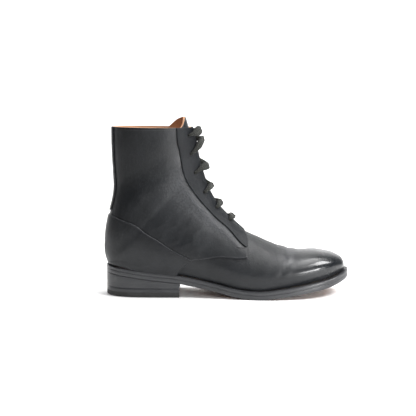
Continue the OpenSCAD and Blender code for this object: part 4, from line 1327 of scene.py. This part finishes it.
def tan_leather(name, dark, light, roughness, fibre=0.0):
    mat, tree, shader = new_material(name, specular=0.3)
    here = place(tree)
    tone = spread(tree, noise(tree, here, 34, 6), 0.28, 0.72)
    base = blend_colours(tree, tone, dark, light)
    spots = spread(tree, noise(tree, here, 1500, 3), 0.52, 0.8)
    base = blend_colours(tree, times(tree, spots, 0.3), base, tuple(0.72 * c for c in dark))
    plug(tree, shader, Base_Color=base)
    tree.links.new(spread(tree, noise(tree, here, 90, 4), 0.3, 0.7, roughness - 0.07, roughness + 0.07),
                   shader.inputs["Roughness"])
    normal = bump(tree, spread(tree, cells(tree, here, 1150), 0.0, 0.3), 0.22, 0.0002)
    fuzz = noise(tree, here, 1300 if fibre else 2200, 5, 0.7)
    plug(tree, shader, Normal=bump(tree, fuzz, 0.25 + fibre, 0.0003, normal))
    return mat


def woven_lace(name):
    """Flat braid: two crossing diagonals of yarn, with painted shade between the yarns and a soft sheen."""
    mat, tree, shader = new_material(name, roughness=0.85, specular=0.15, Sheen_Weight=0.1,
                                     Sheen_Roughness=0.5)
    source = tree.nodes.new("ShaderNodeUVMap")
    source.uv_map = "lace"
    yarns = []
    for flip in (1, -1):
        mapping = tree.nodes.new("ShaderNodeMapping")
        mapping.inputs["Scale"].default_value = (flip * 0.2, 0.2, 1)
        tree.links.new(source.outputs["UV"], mapping.inputs["Vector"])
        wave = tree.nodes.new("ShaderNodeTexWave")
        wave.bands_direction = "DIAGONAL"
        wave.inputs["Scale"].default_value = 1.0
        tree.links.new(mapping.outputs["Vector"], wave.inputs["Vector"])
        yarns.append(wave.outputs["Fac"])
    weave = times(tree, yarns[0], yarns[1])
    here = place(tree)
    fuzz = noise(tree, here, 2300, 4, 0.7)
    height = combine(tree, "ADD", weave, times(tree, fuzz, 0.35))
    # painted shade: the colour darkens where the weave is low, between the yarns, and is lighter on the yarn
    # crests
    base = blend_colours(tree, spread(tree, height, 0.1, 0.9), (0.006, 0.0065, 0.0058), (0.03, 0.0315, 0.027))
    tree.links.new(blend_colours(tree, spread(tree, noise(tree, here, 150, 3), 0.35, 0.75, 0.0, 0.35), base,
                                 (0.02, 0.0195, 0.0165)), shader.inputs["Base Color"])
    tree.links.new(bump(tree, height, 0.75, 0.0004), shader.inputs["Normal"])
    return mat


def layered(name, dark, light, roughness, scale, strength, line_scale=(45, 45, 1500), metallic=0.0):
    """A burnished edge, a moulded tread or drawn metal: fine lines along one way and a mottled colour."""
    mat, tree, shader = new_material(name, metallic=metallic)
    here, lines = place(tree), place(tree, line_scale)
    tone = spread(tree, noise(tree, here, scale, 6), 0.3, 0.7)
    streak = noise(tree, lines, 1.0, 4, 0.6)
    base = blend_colours(tree, tone, dark, light)
    deep = tuple(0.55 * c for c in dark)
    base = blend_colours(tree, spread(tree, streak, 0.48, 0.8, 0.0, 0.45), base, deep)
    plug(tree, shader, Base_Color=base)
    tree.links.new(spread(tree, noise(tree, here, scale * 4, 4), 0.3, 0.7, roughness - 0.07, roughness + 0.09),
                   shader.inputs["Roughness"])
    normal = bump(tree, streak, strength, 0.0002)
    plug(tree, shader, Normal=bump(tree, noise(tree, here, 1700, 4, 0.6), strength * 0.6, 0.0002, normal))
    return mat


def granular(name, dark, light, roughness, scale):
    """Cork or leather board: pressed grains of several tones."""
    mat, tree, shader = new_material(name, specular=0.25)
    here = place(tree)
    grains = tree.nodes.new("ShaderNodeTexVoronoi")
    grains.inputs["Scale"].default_value = scale
    tree.links.new(here, grains.inputs["Vector"])
    base = blend_colours(tree, spread(tree, grains.outputs["Color"], 0.1, 0.9), dark, light)
    plug(tree, shader, Base_Color=base)
    tree.links.new(spread(tree, noise(tree, here, 300, 4), 0.3, 0.7, roughness - 0.06, roughness + 0.06),
                   shader.inputs["Roughness"])
    tree.links.new(bump(tree, grains.outputs["Distance"], 0.5, 0.0003), shader.inputs["Normal"])
    return mat


def make_materials():
    leather = black_leather("calf_black")
    return {
        "leather": leather,
        "vamp": black_leather("calf_black_waxed", coat=0.3, specular=0.32),
        "facing": black_leather("calf_black_facing", specular=0.15),
        "raw": tan_leather("raw_leather_edge", (0.50, 0.27, 0.15), (0.66, 0.40, 0.24), 0.85, 0.3),
        "flesh": tan_leather("flesh_side_dyed", (0.03, 0.028, 0.027), (0.05, 0.046, 0.043), 0.9, 0.3),
        "lining": tan_leather("lining_tan", (0.46, 0.235, 0.13), (0.60, 0.34, 0.20), 0.6),
        "lace": woven_lace("lace_woven"),
        "thread": layered("thread_black", (0.012, 0.012, 0.013), (0.032, 0.032, 0.033),
                         0.6, 400, 0.3, (900, 900, 900)),
        "edge": layered("sole_edge_burnished", (0.017, 0.018, 0.0205), (0.029, 0.030, 0.033), 0.36, 30, 0.14),
        "tread": layered("outsole_leather_brown", (0.10, 0.05, 0.034), (0.17, 0.088, 0.058),
                         0.55, 24, 0.25, (25, 160, 25)),
        "rubber": layered("rubber_black", (0.012, 0.012, 0.012), (0.022, 0.022, 0.022),
                         0.62, 120, 0.3, (600, 600, 600)),
        "metal": layered("eyelet_enamel", (0.02, 0.02, 0.021), (0.045, 0.045, 0.047),
                         0.4, 300, 0.08, (400, 400, 400), metallic=0.6),
        "steel": layered("shank_steel", (0.42, 0.43, 0.45), (0.55, 0.56, 0.58),
                         0.35, 60, 0.12, (30, 1500, 1500), metallic=1.0),
        "brass": layered("nail_brass", (0.55, 0.38, 0.14), (0.72, 0.52, 0.22),
                         0.32, 500, 0.08, (600, 600, 600), metallic=1.0),
        "aglet": layered("aglet_plastic", (0.012, 0.012, 0.012), (0.02, 0.02, 0.02),
                         0.26, 90, 0.05, (200, 200, 900)),
        "cork": granular("cork_pressed", (0.30, 0.18, 0.09), (0.52, 0.35, 0.20), 0.85, 700),
        "board": granular("leather_board", (0.40, 0.26, 0.15), (0.56, 0.40, 0.26), 0.75, 1400),
    }


def finish_cad_node(node, mat):
    """A better finish for a CAD node whose shape is right."""
    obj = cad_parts[node]
    obj.data.materials.clear()
    obj.data.materials.append(mat)


# ---------------------------------------------------------------- the scene

make_camera()
MATS = make_materials()
make_lace_ends(MATS["lace"], MATS["aglet"])
make_stage()
make_lights()

make_sole(MATS)
make_stiffeners([MATS["board"]])
make_vamp_lining([MATS["lining"]])
make_vamp([MATS["vamp"], MATS["flesh"]])
for on_inner in (False, True):
    make_quarter(on_inner, [MATS["leather"], MATS["raw"]])
    make_quarter_lining(on_inner, [MATS["lining"]])
    make_facing(on_inner, [MATS["facing"], MATS["flesh"]])
make_counter_cover([MATS["leather"], MATS["flesh"]])
make_back_strip([MATS["leather"], MATS["flesh"]])
make_tongue([MATS["leather"], MATS["raw"]], [MATS["lining"]])
make_lace(MATS["lace"])
make_upper_stitches(MATS["thread"])
for cad_node, finish in (("cork_filler", "cork"), ("shank", "steel"), ("heel_nails", "brass"),
                         ("eyelets_lateral", "metal"), ("eyelets_medial", "metal")):
    finish_cad_node(cad_node, MATS[finish])
